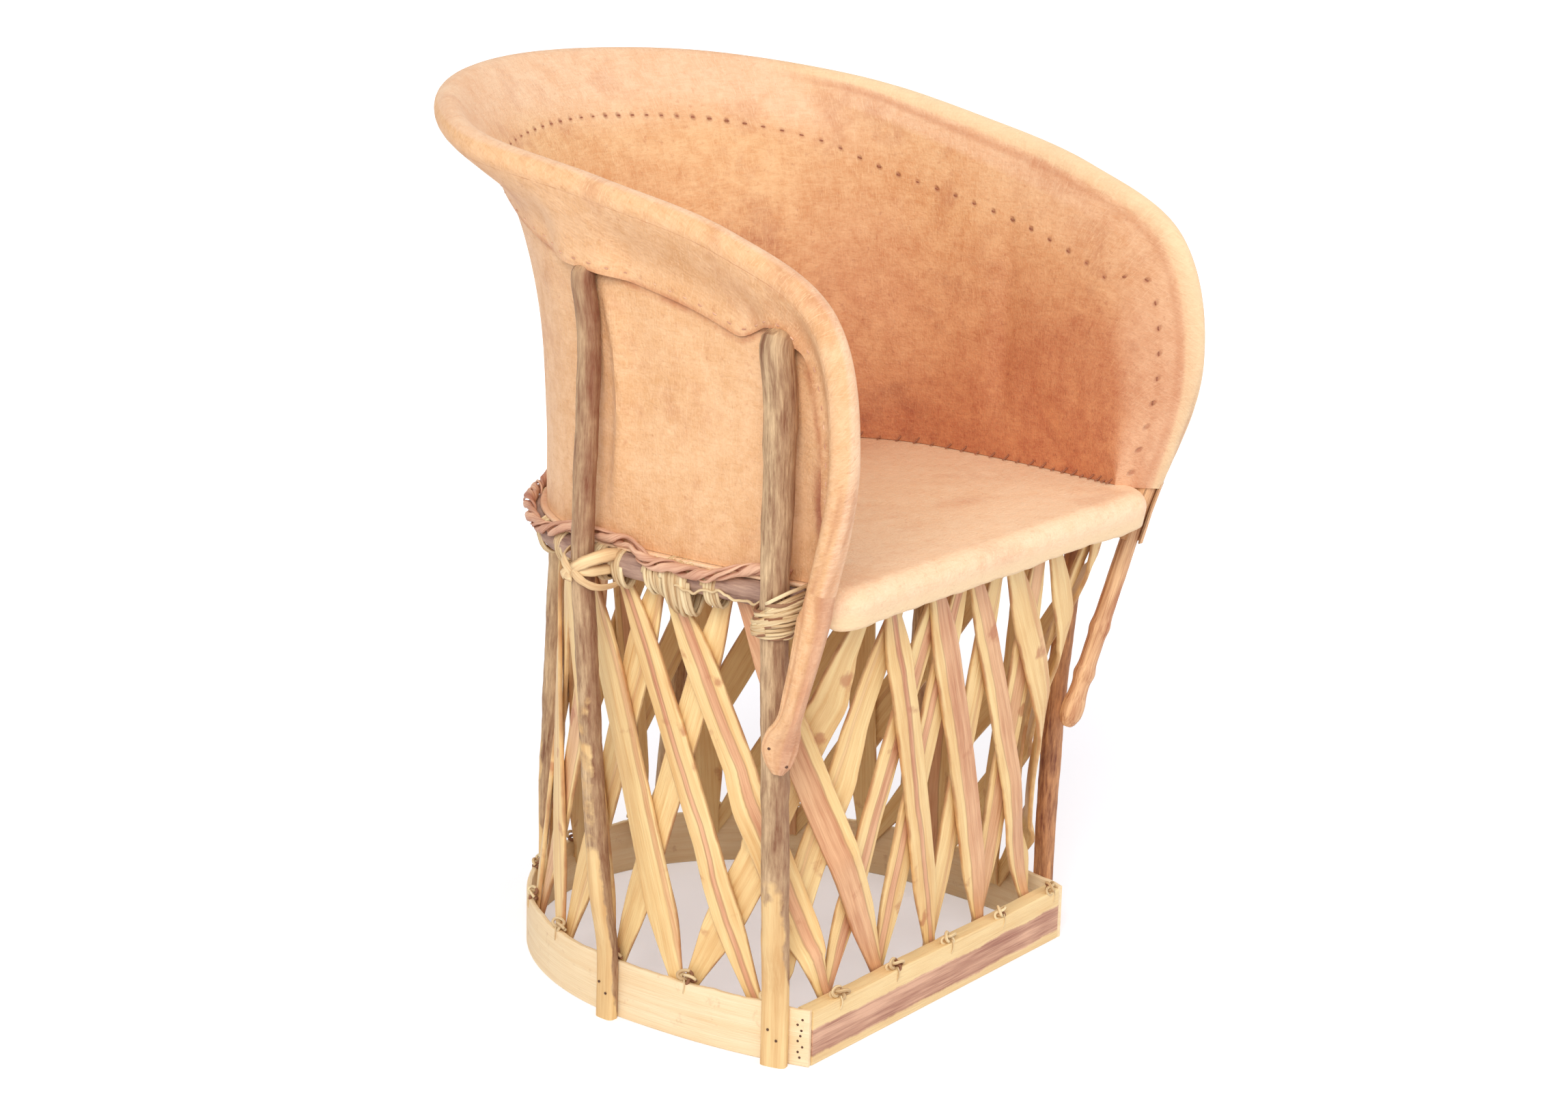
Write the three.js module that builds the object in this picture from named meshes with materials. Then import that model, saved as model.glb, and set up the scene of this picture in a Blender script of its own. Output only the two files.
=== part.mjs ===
// Equipale chair: a barrel armchair of bark-covered saplings, split cedar slats and stretched pigskin.
// Millimetres, +Z up, the front of the chair faces -Y. Shares along an outline run from the middle
// of the front (0) to the middle of the back (1), positive towards +X and negative towards -X.

import * as THREE from 'three';

const { Vector3, Vector2 } = THREE;

// Driving sizes

const clearance = 0.3;            // gap left between two pieces that touch

const base_front_half = 196;      // half the length of the straight front of the base
const base_half_width = 221;      // half the widest breadth of the base
const base_front_reach = 166;     // from the middle of the base to its front
const base_widest_place = 16;     // where the base is widest, behind its middle
const base_back_reach = 250;      // from the widest place to the back of the base
const strip_thickness = 5;        // the bent base strip
const strip_height = 53;
const board_thickness = 17;       // the straight front board
const board_height = 50;

const seat_front_half = 229;      // the hoop that carries the seat
const seat_half_width = 242;
const seat_front_reach = 208;
const seat_widest_place = 10;
const seat_back_reach = 215;
const seat_hoop_height = 424;     // middle of the hoop above the floor
const seat_hoop_radius = 11;
const seat_corner_radius = 24;
const seat_hoop_end_gap = 0.6;    // between the cut ends of the hoop at the back

const seat_skin = 3.4;            // thickness of the seat leather
const seat_slack = 0.9;           // between the seat leather and the hoop
const seat_sag = 9;               // how far the middle of the seat hangs
const seat_lip_drop = 14;         // straight fall of the leather below the front of the hoop
const seat_side_drop = 1;         // what turns over the hoop at the sides and the back

const back_skin = 2.5;            // thickness of the back and arm leather
const back_seam_inset = 4;        // the foot of the back leather lies inside the hoop's middle line
const arm_spread = 43.5;          // the bent rim pole, measured to its middle, beyond the seat's front
const rim_front_reach = 236;
const near_arm_setback = 5;       // the arm at -X reaches this much less far forward
const far_pole_setback = 16;      // and the bare pole at +X, where it passes the seat
const rim_back_depth = 325;
const rim_height = 794;
const rim_radius = 9;
const rim_leather_start = 42;     // the leather begins this far above the seat, on each arm pole
const hem_width = 76;             // leather folded over the rim and sewn down outside
const hem_front_width = 44;       // the same on the upright front of each arm
const sleeve_slack = 0.8;         // between the leather and the pole inside it
const sleeve_end_gap = 7;         // between the end of the panel and the sleeve below it
const far_sleeve_length = 44;     // how far down the bare pole its leather end reaches

const lace_radius = 5.5;          // the laced cord at the foot of the back leather

const slat_count = 18;
const slat_width = 31;
const slat_tip_width = 13;
const slat_thickness = 4;
const slat_seat_gap = 0.7;        // between a slat's ends and the base or the hoop
const slat_layer_gap = 2;         // between the outer and the inner slats where they cross
const slat_corner_gap = 9.3;      // and what is added to that at the two front corners
const slat_foot_depth = 20;       // how far the slats reach down inside the base
const slat_top_rise = 2;          // how far the slats reach above the middle of the hoop

const post_radius = 12;
const near_front_post_radius = 12.5;
const near_side_post_radius = 11.5;
const far_front_post_radius = 10.5;
const post_foot_thickness = 12;   // the whittled foot that is nailed to the base strip
const post_foot_rise = 66;        // height of that flat foot
const post_tongue_thickness = 7;  // the whittled top inside the folded hem
const post_tongue_width = 18;
const post_tongue_reach = 20;     // the top ends this far below the rim
const post_tongue_slack = 0.6;    // between the top and the leather that it lies on
const post_taper = 50;            // length of the change from flat to round

const arm_tip_near = 298;         // height of the leather-covered end of the arm pole at -X
const arm_tip_far = 205;          // height of the bare knotted end at +X
const knob_radius = 12;

const binding_drop = 4;           // the post bindings begin this far below the hoop
const fibre_radius = 2.2;         // plant fibre wound round the front posts
const fibre_spacing = 5;          // from one turn of the fibre to the next
const strap_width = 26;           // flat bark strap round the side and rear posts
const strap_thickness = 1.6;

// Outlines seen from above

// A share brought between -1 and 1.
function turned(share) {
  return share - 2 * Math.round(share / 2);
}

class Outline {
  // A closed outline that is mirrored left and right, given by the points of its +X half.
  constructor(half) {
    this.points = half;
    this.lengths = [0];
    for (let i = 1; i < half.length; i += 1) {
      this.lengths.push(this.lengths[i - 1] + half[i].distanceTo(half[i - 1]));
    }
    this.half = this.lengths[half.length - 1];
    this.outs = half.map((_, i) => {
      const before = half[Math.max(i - 1, 0)];
      const after = half[Math.min(i + 1, half.length - 1)];
      const first = before.clone().sub(half[i]).normalize();
      const second = after.clone().sub(half[i]).normalize();
      const along = second.sub(first);
      return new Vector2(along.y, -along.x).normalize();
    });
    this.outs[0].set(0, -1);
    this.outs[half.length - 1].set(0, 1);
  }

  // The point and the outward direction at a share of the way from front to back.
  at(share) {
    const side = turned(share) < 0 ? -1 : 1;
    const reach = Math.abs(turned(share)) * this.half;
    let i = 1;
    while (i < this.lengths.length - 1 && this.lengths[i] < reach) i += 1;
    const a = this.points[i - 1];
    const b = this.points[i];
    const part = (reach - this.lengths[i - 1]) / (this.lengths[i] - this.lengths[i - 1]);
    const place = a.clone().lerp(b, part);
    const out = this.outs[i - 1].clone().lerp(this.outs[i], part).normalize();
    return { x: side * place.x, y: place.y, out: new Vector2(side * out.x, out.y) };
  }

  // The share of the whole way that a share of the way past the front corner comes to.
  past(corner, share) {
    const before = corner / this.half;
    return Math.sign(share) * (before + (1 - before) * Math.abs(share));
  }

  // The same point moved outwards, at a height.
  point(share, outwards, height) {
    const spot = this.at(share);
    return new Vector3(spot.x + spot.out.x * outwards, spot.y + spot.out.y * outwards, height);
  }
}

// Half an outline: straight front, round corner, bowed side and elliptical back.
const side_bow_share = 2.3;
const corner_steps = 6;
const side_steps = 12;
const back_steps = 28;
function barrelOutline({ frontHalf, halfWidth, front, widest, back, corner = 0 }) {
  const half = [new Vector2(0, -front)];
  for (let i = 0; i <= corner_steps; i += 1) {
    const turn = (Math.PI / 2) * (i / corner_steps);
    half.push(new Vector2(
      frontHalf - corner * (1 - Math.sin(turn)),
      -front + corner * (1 - Math.cos(turn)),
    ));
    if (corner === 0) break;
  }
  const start = -front + corner;
  for (let i = 1; i <= side_steps; i += 1) {
    const t = i / side_steps;
    half.push(new Vector2(
      frontHalf + (halfWidth - frontHalf) * (1 - (1 - t) ** side_bow_share),
      start + (widest - start) * t,
    ));
  }
  for (let i = 1; i <= back_steps; i += 1) {
    const turn = (Math.PI / 2) * (i / back_steps);
    half.push(new Vector2(halfWidth * Math.cos(turn), widest + back * Math.sin(turn)));
  }
  return new Outline(half);
}

const baseOutline = barrelOutline({
  frontHalf: base_front_half, halfWidth: base_half_width, front: base_front_reach,
  widest: base_widest_place, back: base_back_reach,
});
const baseInside = barrelOutline({
  frontHalf: base_front_half - strip_thickness,
  halfWidth: base_half_width - strip_thickness,
  front: base_front_reach - board_thickness,
  widest: base_widest_place,
  back: base_back_reach - strip_thickness,
});
const hoopOutline = barrelOutline({
  frontHalf: seat_front_half, halfWidth: seat_half_width, front: seat_front_reach,
  widest: seat_widest_place, back: seat_back_reach, corner: seat_corner_radius,
});

// Solids

// Turns a list of triangles right side out.
function solid(corners, faces) {
  let volume = 0;
  for (const [a, b, c] of faces) {
    volume += corners[a].dot(corners[b].clone().cross(corners[c]));
  }
  const index = faces.flatMap(([a, b, c]) => (volume < 0 ? [a, c, b] : [a, b, c]));
  const geometry = new THREE.BufferGeometry().setFromPoints(corners);
  geometry.setIndex(index);
  geometry.computeVertexNormals();
  return geometry;
}

// Skins a row of closed sections, each a ring of as many points, and closes both ends.
function loft(rings) {
  const count = rings[0].length;
  const corners = rings.flat();
  const faces = [];
  for (let i = 0; i < rings.length - 1; i += 1) {
    for (let j = 0; j < count; j += 1) {
      const a = i * count + j;
      const b = i * count + ((j + 1) % count);
      faces.push([a, b, b + count], [a, b + count, a + count]);
    }
  }
  const last = (rings.length - 1) * count;
  for (let j = 1; j < count - 1; j += 1) {
    faces.push([0, j + 1, j], [last, last + j, last + j + 1]);
  }
  return solid(corners, faces);
}

const upwards = new Vector3(0, 0, 1);

// A ring of points round a middle. A roundness below 1 squares it off.
function ring(middle, sideways, forwards, a, b, sides, roundness) {
  const points = [];
  for (let i = 0; i < sides; i += 1) {
    const turn = (2 * Math.PI * (i + 1 / 2)) / sides;
    const c = Math.cos(turn);
    const s = Math.sin(turn);
    points.push(middle.clone()
      .addScaledVector(sideways, a * Math.sign(c) * Math.abs(c) ** roundness)
      .addScaledVector(forwards, b * Math.sign(s) * Math.abs(s) ** roundness));
  }
  return points;
}

// A skin of even thickness on a grid of points. A closed grid joins its last column to its first,
// and its first row may close on a centre.
function skin(grid, thickness, closed = false, centre = null) {
  const rows = grid.length;
  const columns = grid[0].length;
  const wrap = (j) => (closed ? (j + columns) % columns : Math.min(Math.max(j, 0), columns - 1));
  const sides = [1, -1].map((side) => grid.map((row, i) => row.map((point, j) => {
    const up = grid[Math.min(i + 1, rows - 1)][j].clone().sub(grid[Math.max(i - 1, 0)][j]);
    const across = row[wrap(j + 1)].clone().sub(row[wrap(j - 1)]);
    const normal = up.cross(across).normalize();
    return point.clone().addScaledVector(normal, (side * thickness) / 2);
  })));
  const corners = sides.flat(2);
  const at = (side, i, j) => (side * rows + i) * columns + wrap(j);
  const faces = [];
  const quad = (a, b, c, d) => faces.push([a, b, c], [a, c, d]);
  const spans = closed ? columns : columns - 1;
  for (let j = 0; j < spans; j += 1) {
    for (let i = 0; i < rows - 1; i += 1) {
      quad(at(0, i, j), at(0, i, j + 1), at(0, i + 1, j + 1), at(0, i + 1, j));
      quad(at(1, i, j), at(1, i + 1, j), at(1, i + 1, j + 1), at(1, i, j + 1));
    }
    const last = rows - 1;
    quad(at(0, last, j), at(0, last, j + 1), at(1, last, j + 1), at(1, last, j));
    if (centre) {
      faces.push([corners.length, at(0, 0, j + 1), at(0, 0, j)]);
      faces.push([corners.length + 1, at(1, 0, j), at(1, 0, j + 1)]);
    } else {
      quad(at(0, 0, j + 1), at(0, 0, j), at(1, 0, j), at(1, 0, j + 1));
    }
  }
  if (centre) {
    const up = grid[0][1].clone().sub(centre).cross(grid[0][0].clone().sub(centre)).normalize();
    const facing = Math.sign(sides[0][0][0].clone().sub(sides[1][0][0]).dot(up));
    corners.push(centre.clone().addScaledVector(up, (facing * thickness) / 2));
    corners.push(centre.clone().addScaledVector(up, (-facing * thickness) / 2));
  }
  if (!closed) {
    const end = columns - 1;
    for (let i = 0; i < rows - 1; i += 1) {
      quad(at(0, i + 1, 0), at(1, i + 1, 0), at(1, i, 0), at(0, i, 0));
      quad(at(0, i, end), at(1, i, end), at(1, i + 1, end), at(0, i + 1, end));
    }
  }
  return solid(corners, faces);
}

// A round rod along a curve.
function rod(curve, radius, sides, steps) {
  const section = new THREE.Shape();
  for (let i = 0; i < sides; i += 1) {
    const turn = (2 * Math.PI * i) / sides;
    const x = radius * Math.cos(turn);
    const y = radius * Math.sin(turn);
    if (i === 0) section.moveTo(x, y);
    else section.lineTo(x, y);
  }
  section.closePath();
  return new THREE.ExtrudeGeometry(section, { steps, extrudePath: curve, bevelEnabled: false });
}

const chair = new THREE.Group();

function add(name, geometry, material) {
  const mesh = new THREE.Mesh(geometry, new THREE.MeshStandardMaterial(material));
  mesh.name = name;
  chair.add(mesh);
  return mesh;
}

const stripWood = { color: 0xe2bd84, roughness: 0.62, metalness: 0 };
const boardWood = { color: 0xc98f6a, roughness: 0.62, metalness: 0 };
const cedarPale = { color: 0xe8c88c, roughness: 0.6, metalness: 0 };
const cedarRed = { color: 0xcf9168, roughness: 0.6, metalness: 0 };
const bark = { color: 0x96826b, roughness: 0.85, metalness: 0 };
const hoopBark = { color: 0x8f7f78, roughness: 0.8, metalness: 0 };
const peeled = { color: 0xb98a58, roughness: 0.6, metalness: 0 };
const pigskin = { color: 0xd9a06c, roughness: 0.55, metalness: 0 };
const seatLeather = { color: 0xe2b078, roughness: 0.5, metalness: 0 };
const laceLeather = { color: 0xcf9a7c, roughness: 0.65, metalness: 0 };
const plantFibre = { color: 0xd9c08c, roughness: 0.85, metalness: 0 };
const barkStrap = { color: 0xcda872, roughness: 0.75, metalness: 0 };

// Base strip, bent round the sides and the back, with its ends over the ends of the front board

const front_end_share = base_front_half / baseOutline.half;
const strip_steps = 84;
{
  const outside = [];
  const inside = [];
  for (let i = 0; i <= strip_steps; i += 1) {
    const share = front_end_share + (2 - 2 * front_end_share) * (i / strip_steps);
    outside.push(baseOutline.point(share, 0, 0));
    inside.push(baseOutline.point(share, -strip_thickness, 0));
  }
  for (const [row, half] of [[outside, base_front_half], [inside, base_front_half - strip_thickness]]) {
    row[0].set(half, -base_front_reach, 0);
    row[strip_steps].set(-half, -base_front_reach, 0);
  }
  const outline = new THREE.Shape([...outside, ...inside.reverse()]);
  const strip = new THREE.ExtrudeGeometry(outline, { depth: strip_height, bevelEnabled: false });
  add('base_strip', strip, stripWood);
}

// Front board between the ends of the strip

{
  const length = 2 * (base_front_half - strip_thickness - clearance);
  const board = new THREE.BoxGeometry(length, board_thickness, board_height);
  const mesh = add('front_board', board, boardWood);
  mesh.position.set(0, -base_front_reach + board_thickness / 2, board_height / 2);
}

// Seat hoop, one branch bent to the shape of the seat, with its ends meeting at the back

// Shares along the hoop, closer together in its two front corners.
const straight_steps = 5;
const bend_steps = 9;
const round_steps = 22;
const bend_start = (seat_front_half - seat_corner_radius) / hoopOutline.half;
const bend_end = bend_start + (seat_corner_radius * Math.PI) / 2 / hoopOutline.half;
const halfShares = [];
for (let i = 0; i < straight_steps; i += 1) halfShares.push((bend_start * i) / straight_steps);
for (let i = 0; i < bend_steps; i += 1) {
  halfShares.push(bend_start + ((bend_end - bend_start) * i) / bend_steps);
}
for (let i = 0; i <= round_steps; i += 1) {
  halfShares.push(bend_end + ((1 - bend_end) * i) / round_steps);
}
const hoopShares = [...[...halfShares].reverse().map((share) => -share), ...halfShares.slice(1)];

const hoop_sides = 8;
{
  const gapShare = seat_hoop_end_gap / 2 / hoopOutline.half;
  const rings = hoopShares.map((share) => {
    const held = THREE.MathUtils.clamp(share, gapShare - 1, 1 - gapShare);
    const spot = hoopOutline.at(held);
    const out = new Vector3(spot.out.x, spot.out.y, 0);
    const middle = hoopOutline.point(held, 0, seat_hoop_height);
    return ring(middle, out, upwards, seat_hoop_radius, seat_hoop_radius, hoop_sides, 1);
  });
  add('seat_hoop', loft(rings), hoopBark);
}

// Rim pole, from the seat level of an arm pole up and round to the middle of the back: shares of the
// spread beyond the seat, then of the half width, of the reach forwards or backwards, and of the
// height above the seat

const seat_top = seat_hoop_height + seat_hoop_radius + seat_slack + seat_skin;
const arm_spread_shares = [0.586, 0.655, 0.637, 0.749, 1, 0.931];
const back_width_shares = [0.62, 0];
const rim_forward_shares = [0.87, 1, 0.886, 0.48, 0, 0, 0, 0];
const rim_backward_shares = [0, 0, 0, 0, 0.052, 0.475, 0.837, 1];
const rim_height_shares = [-0.085, 0.335, 0.628, 0.766, 0.851, 0.918, 0.98, 1];

function rimPoint(i, side) {
  const setback = i === 0 ? far_pole_setback : 0;
  const reach = rim_front_reach - (side < 0 ? near_arm_setback : setback);
  const arm = i < arm_spread_shares.length;
  const half = arm
    ? seat_front_half + arm_spread_shares[i] * arm_spread
    : back_width_shares[i - arm_spread_shares.length] * (seat_front_half + arm_spread);
  return new Vector3(
    side * half,
    rim_backward_shares[i] * rim_back_depth - rim_forward_shares[i] * reach,
    seat_top + rim_height_shares[i] * (rim_height - seat_top),
  );
}

// Posts: the foot and the seat crossing are shares of the way past the front corners of the base
// and the hoop, and the top is a share of the way along the leather

const posts = [
  {
    name: 'front_post_near', side: -1, radius: near_front_post_radius,
    foot_share: -0.0527, seat_share: -0.0653, top: 0.24,
  },
  {
    name: 'side_post_near', side: -1, radius: near_side_post_radius,
    foot_share: -0.3666, seat_share: -0.4063, top: 0.482,
  },
  {
    name: 'rear_post_near', side: -1, radius: post_radius,
    foot_share: -0.9188, seat_share: -0.9158, top: 0.93,
  },
  {
    name: 'front_post_far', side: 1, radius: far_front_post_radius,
    foot_share: 0.0622, seat_share: 0.1186, top: 0.27,
  },
  {
    name: 'side_post_far', side: 1, radius: post_radius,
    foot_share: 0.3639, seat_share: 0.4175, top: 0.52,
  },
  {
    name: 'rear_post_far', side: 1, radius: post_radius,
    foot_share: 0.8105, seat_share: 0.8035, top: 0.85,
  },
];
for (const post of posts) {
  post.foot = baseOutline.past(base_front_half, post.foot_share);
  post.seat = hoopOutline.past(seat_front_half, post.seat_share);
}
const post_bow_shares = [1, 0.7, 1, 2.2, 1, 1];

// The middle line of a post from the floor to the seat hoop.
function lowerPost(post, height) {
  const foot = baseOutline.point(post.foot, clearance + post_foot_thickness / 2, height);
  const seat = hoopOutline.point(post.seat, seat_hoop_radius + clearance + post.radius, height);
  const part = Math.max(0, (height - post_foot_rise) / (seat_hoop_height - post_foot_rise));
  return foot.lerp(seat, part ** post_bow_shares[posts.indexOf(post)]);
}

// Rim pole with its two ends brought down to the front posts

const sleeve_radius = rim_radius + sleeve_slack + back_skin;
const near_tip_turn = -2.3;       // direction from the post to the pole end, seen from above
const far_tip_turn = -2;
function armTip(post, height, reach, turn) {
  const middle = lowerPost(post, height);
  const distance = post.radius + clearance + reach;
  return middle.add(new Vector3(Math.cos(turn), Math.sin(turn), 0).multiplyScalar(distance));
}

const rimCurve = new THREE.CatmullRomCurve3([
  armTip(posts[0], arm_tip_near, sleeve_radius, near_tip_turn),
  ...rim_height_shares.map((_, i) => rimPoint(i, -1)),
  ...rim_height_shares.map((_, i) => rimPoint(i, 1)).reverse().slice(1),
  armTip(posts[3], arm_tip_far, knob_radius, far_tip_turn),
], false, 'centripetal');
const rim_divisions = 600;
rimCurve.arcLengthDivisions = rim_divisions;
const rimLength = rimCurve.getLength();

// Where along the pole the leather begins and ends, and where the middle of the back is.
let rimStart = 0;
let rimMiddle = 0;
let rimEnd = 1;
{
  const level = seat_top + rim_leather_start;
  for (let i = 0; i <= rim_divisions; i += 1) {
    const u = i / rim_divisions;
    const place = rimCurve.getPointAt(u);
    if (place.z < level && place.x < 0) rimStart = u;
    if (place.x < 0) rimMiddle = u;
    if (place.z > level && place.x > 0) rimEnd = u;
  }
}

// The back and arm leather. A place on it has a share q from the near arm (0) round to the far
// arm (1) and a share v from the seat (0) to the rim (1).

const flare_share = 3.5;
const fan_share = 1.5;
const seam_start_share = (seat_front_half + seat_corner_radius * (Math.PI / 2 - 1))
  / hoopOutline.half;

function nearness(q) {
  return 1 - Math.abs(2 * q - 1);
}

function rimShare(q) {
  const w = nearness(q);
  return q < 0.5 ? rimStart + (rimMiddle - rimStart) * w : rimEnd - (rimEnd - rimMiddle) * w;
}

function leatherFoot(q) {
  const share = seam_start_share + (1 - seam_start_share) * nearness(q) ** fan_share;
  return hoopOutline.point((q < 0.5 ? -1 : 1) * share, -back_seam_inset, seat_top + clearance);
}

// The pole's middle, the way it runs, the way the leather reaches it and the way out of the chair.
function rimFrame(q) {
  const middle = rimCurve.getPointAt(rimShare(q));
  const along = rimCurve.getTangentAt(rimShare(q));
  const foot = leatherFoot(q);
  const rise = new Vector3(
    (middle.x - foot.x) * flare_share,
    (middle.y - foot.y) * flare_share,
    middle.z - foot.z,
  );
  rise.addScaledVector(along, -rise.dot(along)).normalize();
  return { middle, along, rise, out: rise.clone().cross(along) };
}

const fold_radius = rim_radius + sleeve_slack + back_skin / 2;

function leatherPoint(q, v) {
  const foot = leatherFoot(q);
  const frame = rimFrame(q);
  const top = frame.middle.addScaledVector(frame.out, -fold_radius);
  const flare = v ** flare_share;
  return new Vector3(
    foot.x + (top.x - foot.x) * flare,
    foot.y + (top.y - foot.y) * flare,
    foot.z + (top.z - foot.z) * v,
  );
}

const normal_step_share = 0.002;
function leatherNormal(q, v) {
  const step = normal_step_share;
  const across = leatherPoint(Math.min(q + step, 1), v)
    .sub(leatherPoint(Math.max(q - step, 0), v));
  const up = leatherPoint(q, Math.min(v + step, 1)).sub(leatherPoint(q, Math.max(v - step, 0)));
  return up.cross(across).normalize();
}

// A close net of places on the leather, to find the one below the rim at a given distance.
const net_columns = 160;
const net_rows = 48;
const net_row_power_share = 0.5;
const net = [];
for (let i = 0; i <= net_columns; i += 1) {
  for (let j = 0; j <= net_rows; j += 1) {
    const q = i / net_columns;
    const v = (j / net_rows) ** net_row_power_share;
    net.push({ q, v, place: leatherPoint(q, v) });
  }
}

// A place brought onto the leather, then moved outwards.
function onLeather(target, outwards) {
  let best = net[0];
  let nearest = Infinity;
  for (const spot of net) {
    const gap = spot.place.distanceToSquared(target);
    if (gap < nearest) {
      nearest = gap;
      best = spot;
    }
  }
  const out = leatherNormal(best.q, best.v);
  const lift = target.clone().sub(best.place).dot(out);
  return { place: target.clone().addScaledVector(out, outwards - lift), out };
}

// The place on the leather at a distance below the rim, measured square to the pole, then moved
// outwards.
function belowRim(q, distance, outwards) {
  const frame = rimFrame(q);
  const target = frame.middle.clone().addScaledVector(frame.out, -fold_radius)
    .addScaledVector(frame.rise, -distance);
  return onLeather(target, outwards).place;
}

// The hem is narrower on the upright front of each arm. It steps in at the near front post, and
// nearer to the front on the far arm.
const hem_step_share = 0.05;
const hem_step_start_shares = [0.25, 0.17];
function hemWidth(q) {
  const start = hem_step_start_shares[q < 0.5 ? 0 : 1];
  const part = THREE.MathUtils.smoothstep(nearness(q), start, start + hem_step_share);
  return hem_front_width + (hem_width - hem_front_width) * part;
}

// Where each post goes under the hem, the way it runs down from there to the seat, and how far
// it goes along the pole and away from it on that way.
const postTops = posts.map((post) => {
  const q = post.side < 0 ? post.top / 2 : 1 - post.top / 2;
  const edge = belowRim(q, hemWidth(q), back_skin / 2 + clearance + post.radius);
  const down = lowerPost(post, seat_hoop_height).sub(edge).normalize();
  const { along, rise } = rimFrame(q);
  return { q, edge, down, slide: down.dot(along), fall: -down.dot(rise) };
});

const hem_lift_flat = 36;
const hem_lift_fade = 34;
const hem_lift_slack = 3.4;
function hemLift(q, distance) {
  let lift = 0;
  for (const top of postTops) {
    const slide = ((distance - hemWidth(top.q)) * top.slide) / top.fall;
    const away = Math.abs((rimShare(q) - rimShare(top.q)) * rimLength - slide);
    const part = THREE.MathUtils.clamp(1 - (away - hem_lift_flat) / hem_lift_fade, 0, 1);
    lift = Math.max(lift, part);
  }
  return lift * (post_tongue_thickness + clearance + hem_lift_slack);
}

const leather_columns = 60;
const leather_rows = 8;
const leather_row_power_share = 0.667;
const fold_steps = 6;
const hem_row_shares = [0.45, 1];
const hem_settle_share = 0.8;
const frames = [];
{
  const rows = leather_rows + fold_steps + hem_row_shares.length + 2;
  const grid = Array.from({ length: rows }, () => []);
  for (let j = 0; j <= leather_columns; j += 1) {
    const q = j / leather_columns;
    const frame = rimFrame(q);
    frames.push(frame);
    for (let i = 0; i <= leather_rows; i += 1) {
      grid[i].push(leatherPoint(q, (i / leather_rows) ** leather_row_power_share));
    }
    for (let i = 1; i <= fold_steps; i += 1) {
      const turn = Math.PI * (i / fold_steps);
      grid[leather_rows + i].push(frame.middle.clone()
        .addScaledVector(frame.out, -fold_radius * Math.cos(turn))
        .addScaledVector(frame.rise, fold_radius * Math.sin(turn)));
    }
    grid[leather_rows + fold_steps + 1].push(frame.middle.clone()
      .addScaledVector(frame.out, fold_radius).addScaledVector(frame.rise, -rim_radius));
    const width = hemWidth(q);
    hem_row_shares.forEach((part, i) => {
      const hem = back_skin + clearance + hemLift(q, width * part);
      const settled = THREE.MathUtils.smoothstep(part, 0, hem_settle_share);
      const outwards = hem + (2 * fold_radius - hem) * (1 - settled);
      grid[leather_rows + fold_steps + 2 + i].push(belowRim(q, width * part, outwards));
    });
  }
  add('back_and_arm_leather', skin(grid, back_skin), pigskin);
}

// Rim pole: whittled to a tip under the near arm's sleeve, and knotted at its bare far end

const pole_sides = 9;
const pole_end_steps = 6;
const tip_share = 0.55;

// A section across the pole beyond the leather, turned as the leather's last one is.
function poleFrame(u, like) {
  const along = rimCurve.getTangentAt(u);
  const rise = like.rise.clone().addScaledVector(along, -like.rise.dot(along)).normalize();
  return { middle: rimCurve.getPointAt(u), rise, out: rise.clone().cross(along) };
}

function poleRing({ middle, rise, out }, radius) {
  return ring(middle, out, rise, radius, radius, pole_sides, 1);
}

{
  const rings = [];
  for (let i = 0; i < pole_end_steps; i += 1) {
    const frame = poleFrame(rimStart * (i / pole_end_steps), frames[0]);
    rings.push(poleRing(frame, rim_radius * (i === 0 ? tip_share : 1)));
  }
  for (const frame of frames) rings.push(poleRing(frame, rim_radius));
  for (let i = 1; i <= pole_end_steps; i += 1) {
    const part = i / pole_end_steps;
    const swell = i === pole_end_steps - 1 ? knob_radius : rim_radius;
    const radius = i === pole_end_steps ? knob_radius * tip_share : swell;
    rings.push(poleRing(poleFrame(rimEnd + (1 - rimEnd) * part, frames.at(-1)), radius));
  }
  add('rim_pole', loft(rings), peeled);
}

// Leather sleeves on the arm poles below the panel, open towards the inside of the chair. The near
// one runs down to the tip, the far one ends at the seat.

const sleeve_turn = 2.6;
const sleeve_columns = 10;
const near_sleeve_steps = 6;
const far_sleeve_steps = 2;
function sleeve(name, from, to, steps, like) {
  const grid = [];
  for (let i = 0; i <= steps; i += 1) {
    const { middle, rise, out } = poleFrame(from + (to - from) * (i / steps), like);
    const row = [];
    for (let j = 0; j <= sleeve_columns; j += 1) {
      const turn = sleeve_turn * (2 * j / sleeve_columns - 1);
      row.push(middle.clone().addScaledVector(out, fold_radius * Math.cos(turn))
        .addScaledVector(rise, fold_radius * Math.sin(turn)));
    }
    grid.push(row);
  }
  add(name, skin(grid, back_skin), pigskin);
}
const sleeveGap = sleeve_end_gap / rimLength;
const farSleeve = far_sleeve_length / rimLength;
sleeve('near_arm_sleeve', 0, rimStart - sleeveGap, near_sleeve_steps, frames[0]);
sleeve('far_arm_sleeve', rimEnd + sleeveGap, rimEnd + farSleeve, far_sleeve_steps, frames.at(-1));

// Posts: flat whittled feet, round stems, and flat tops inside the hem

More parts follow.
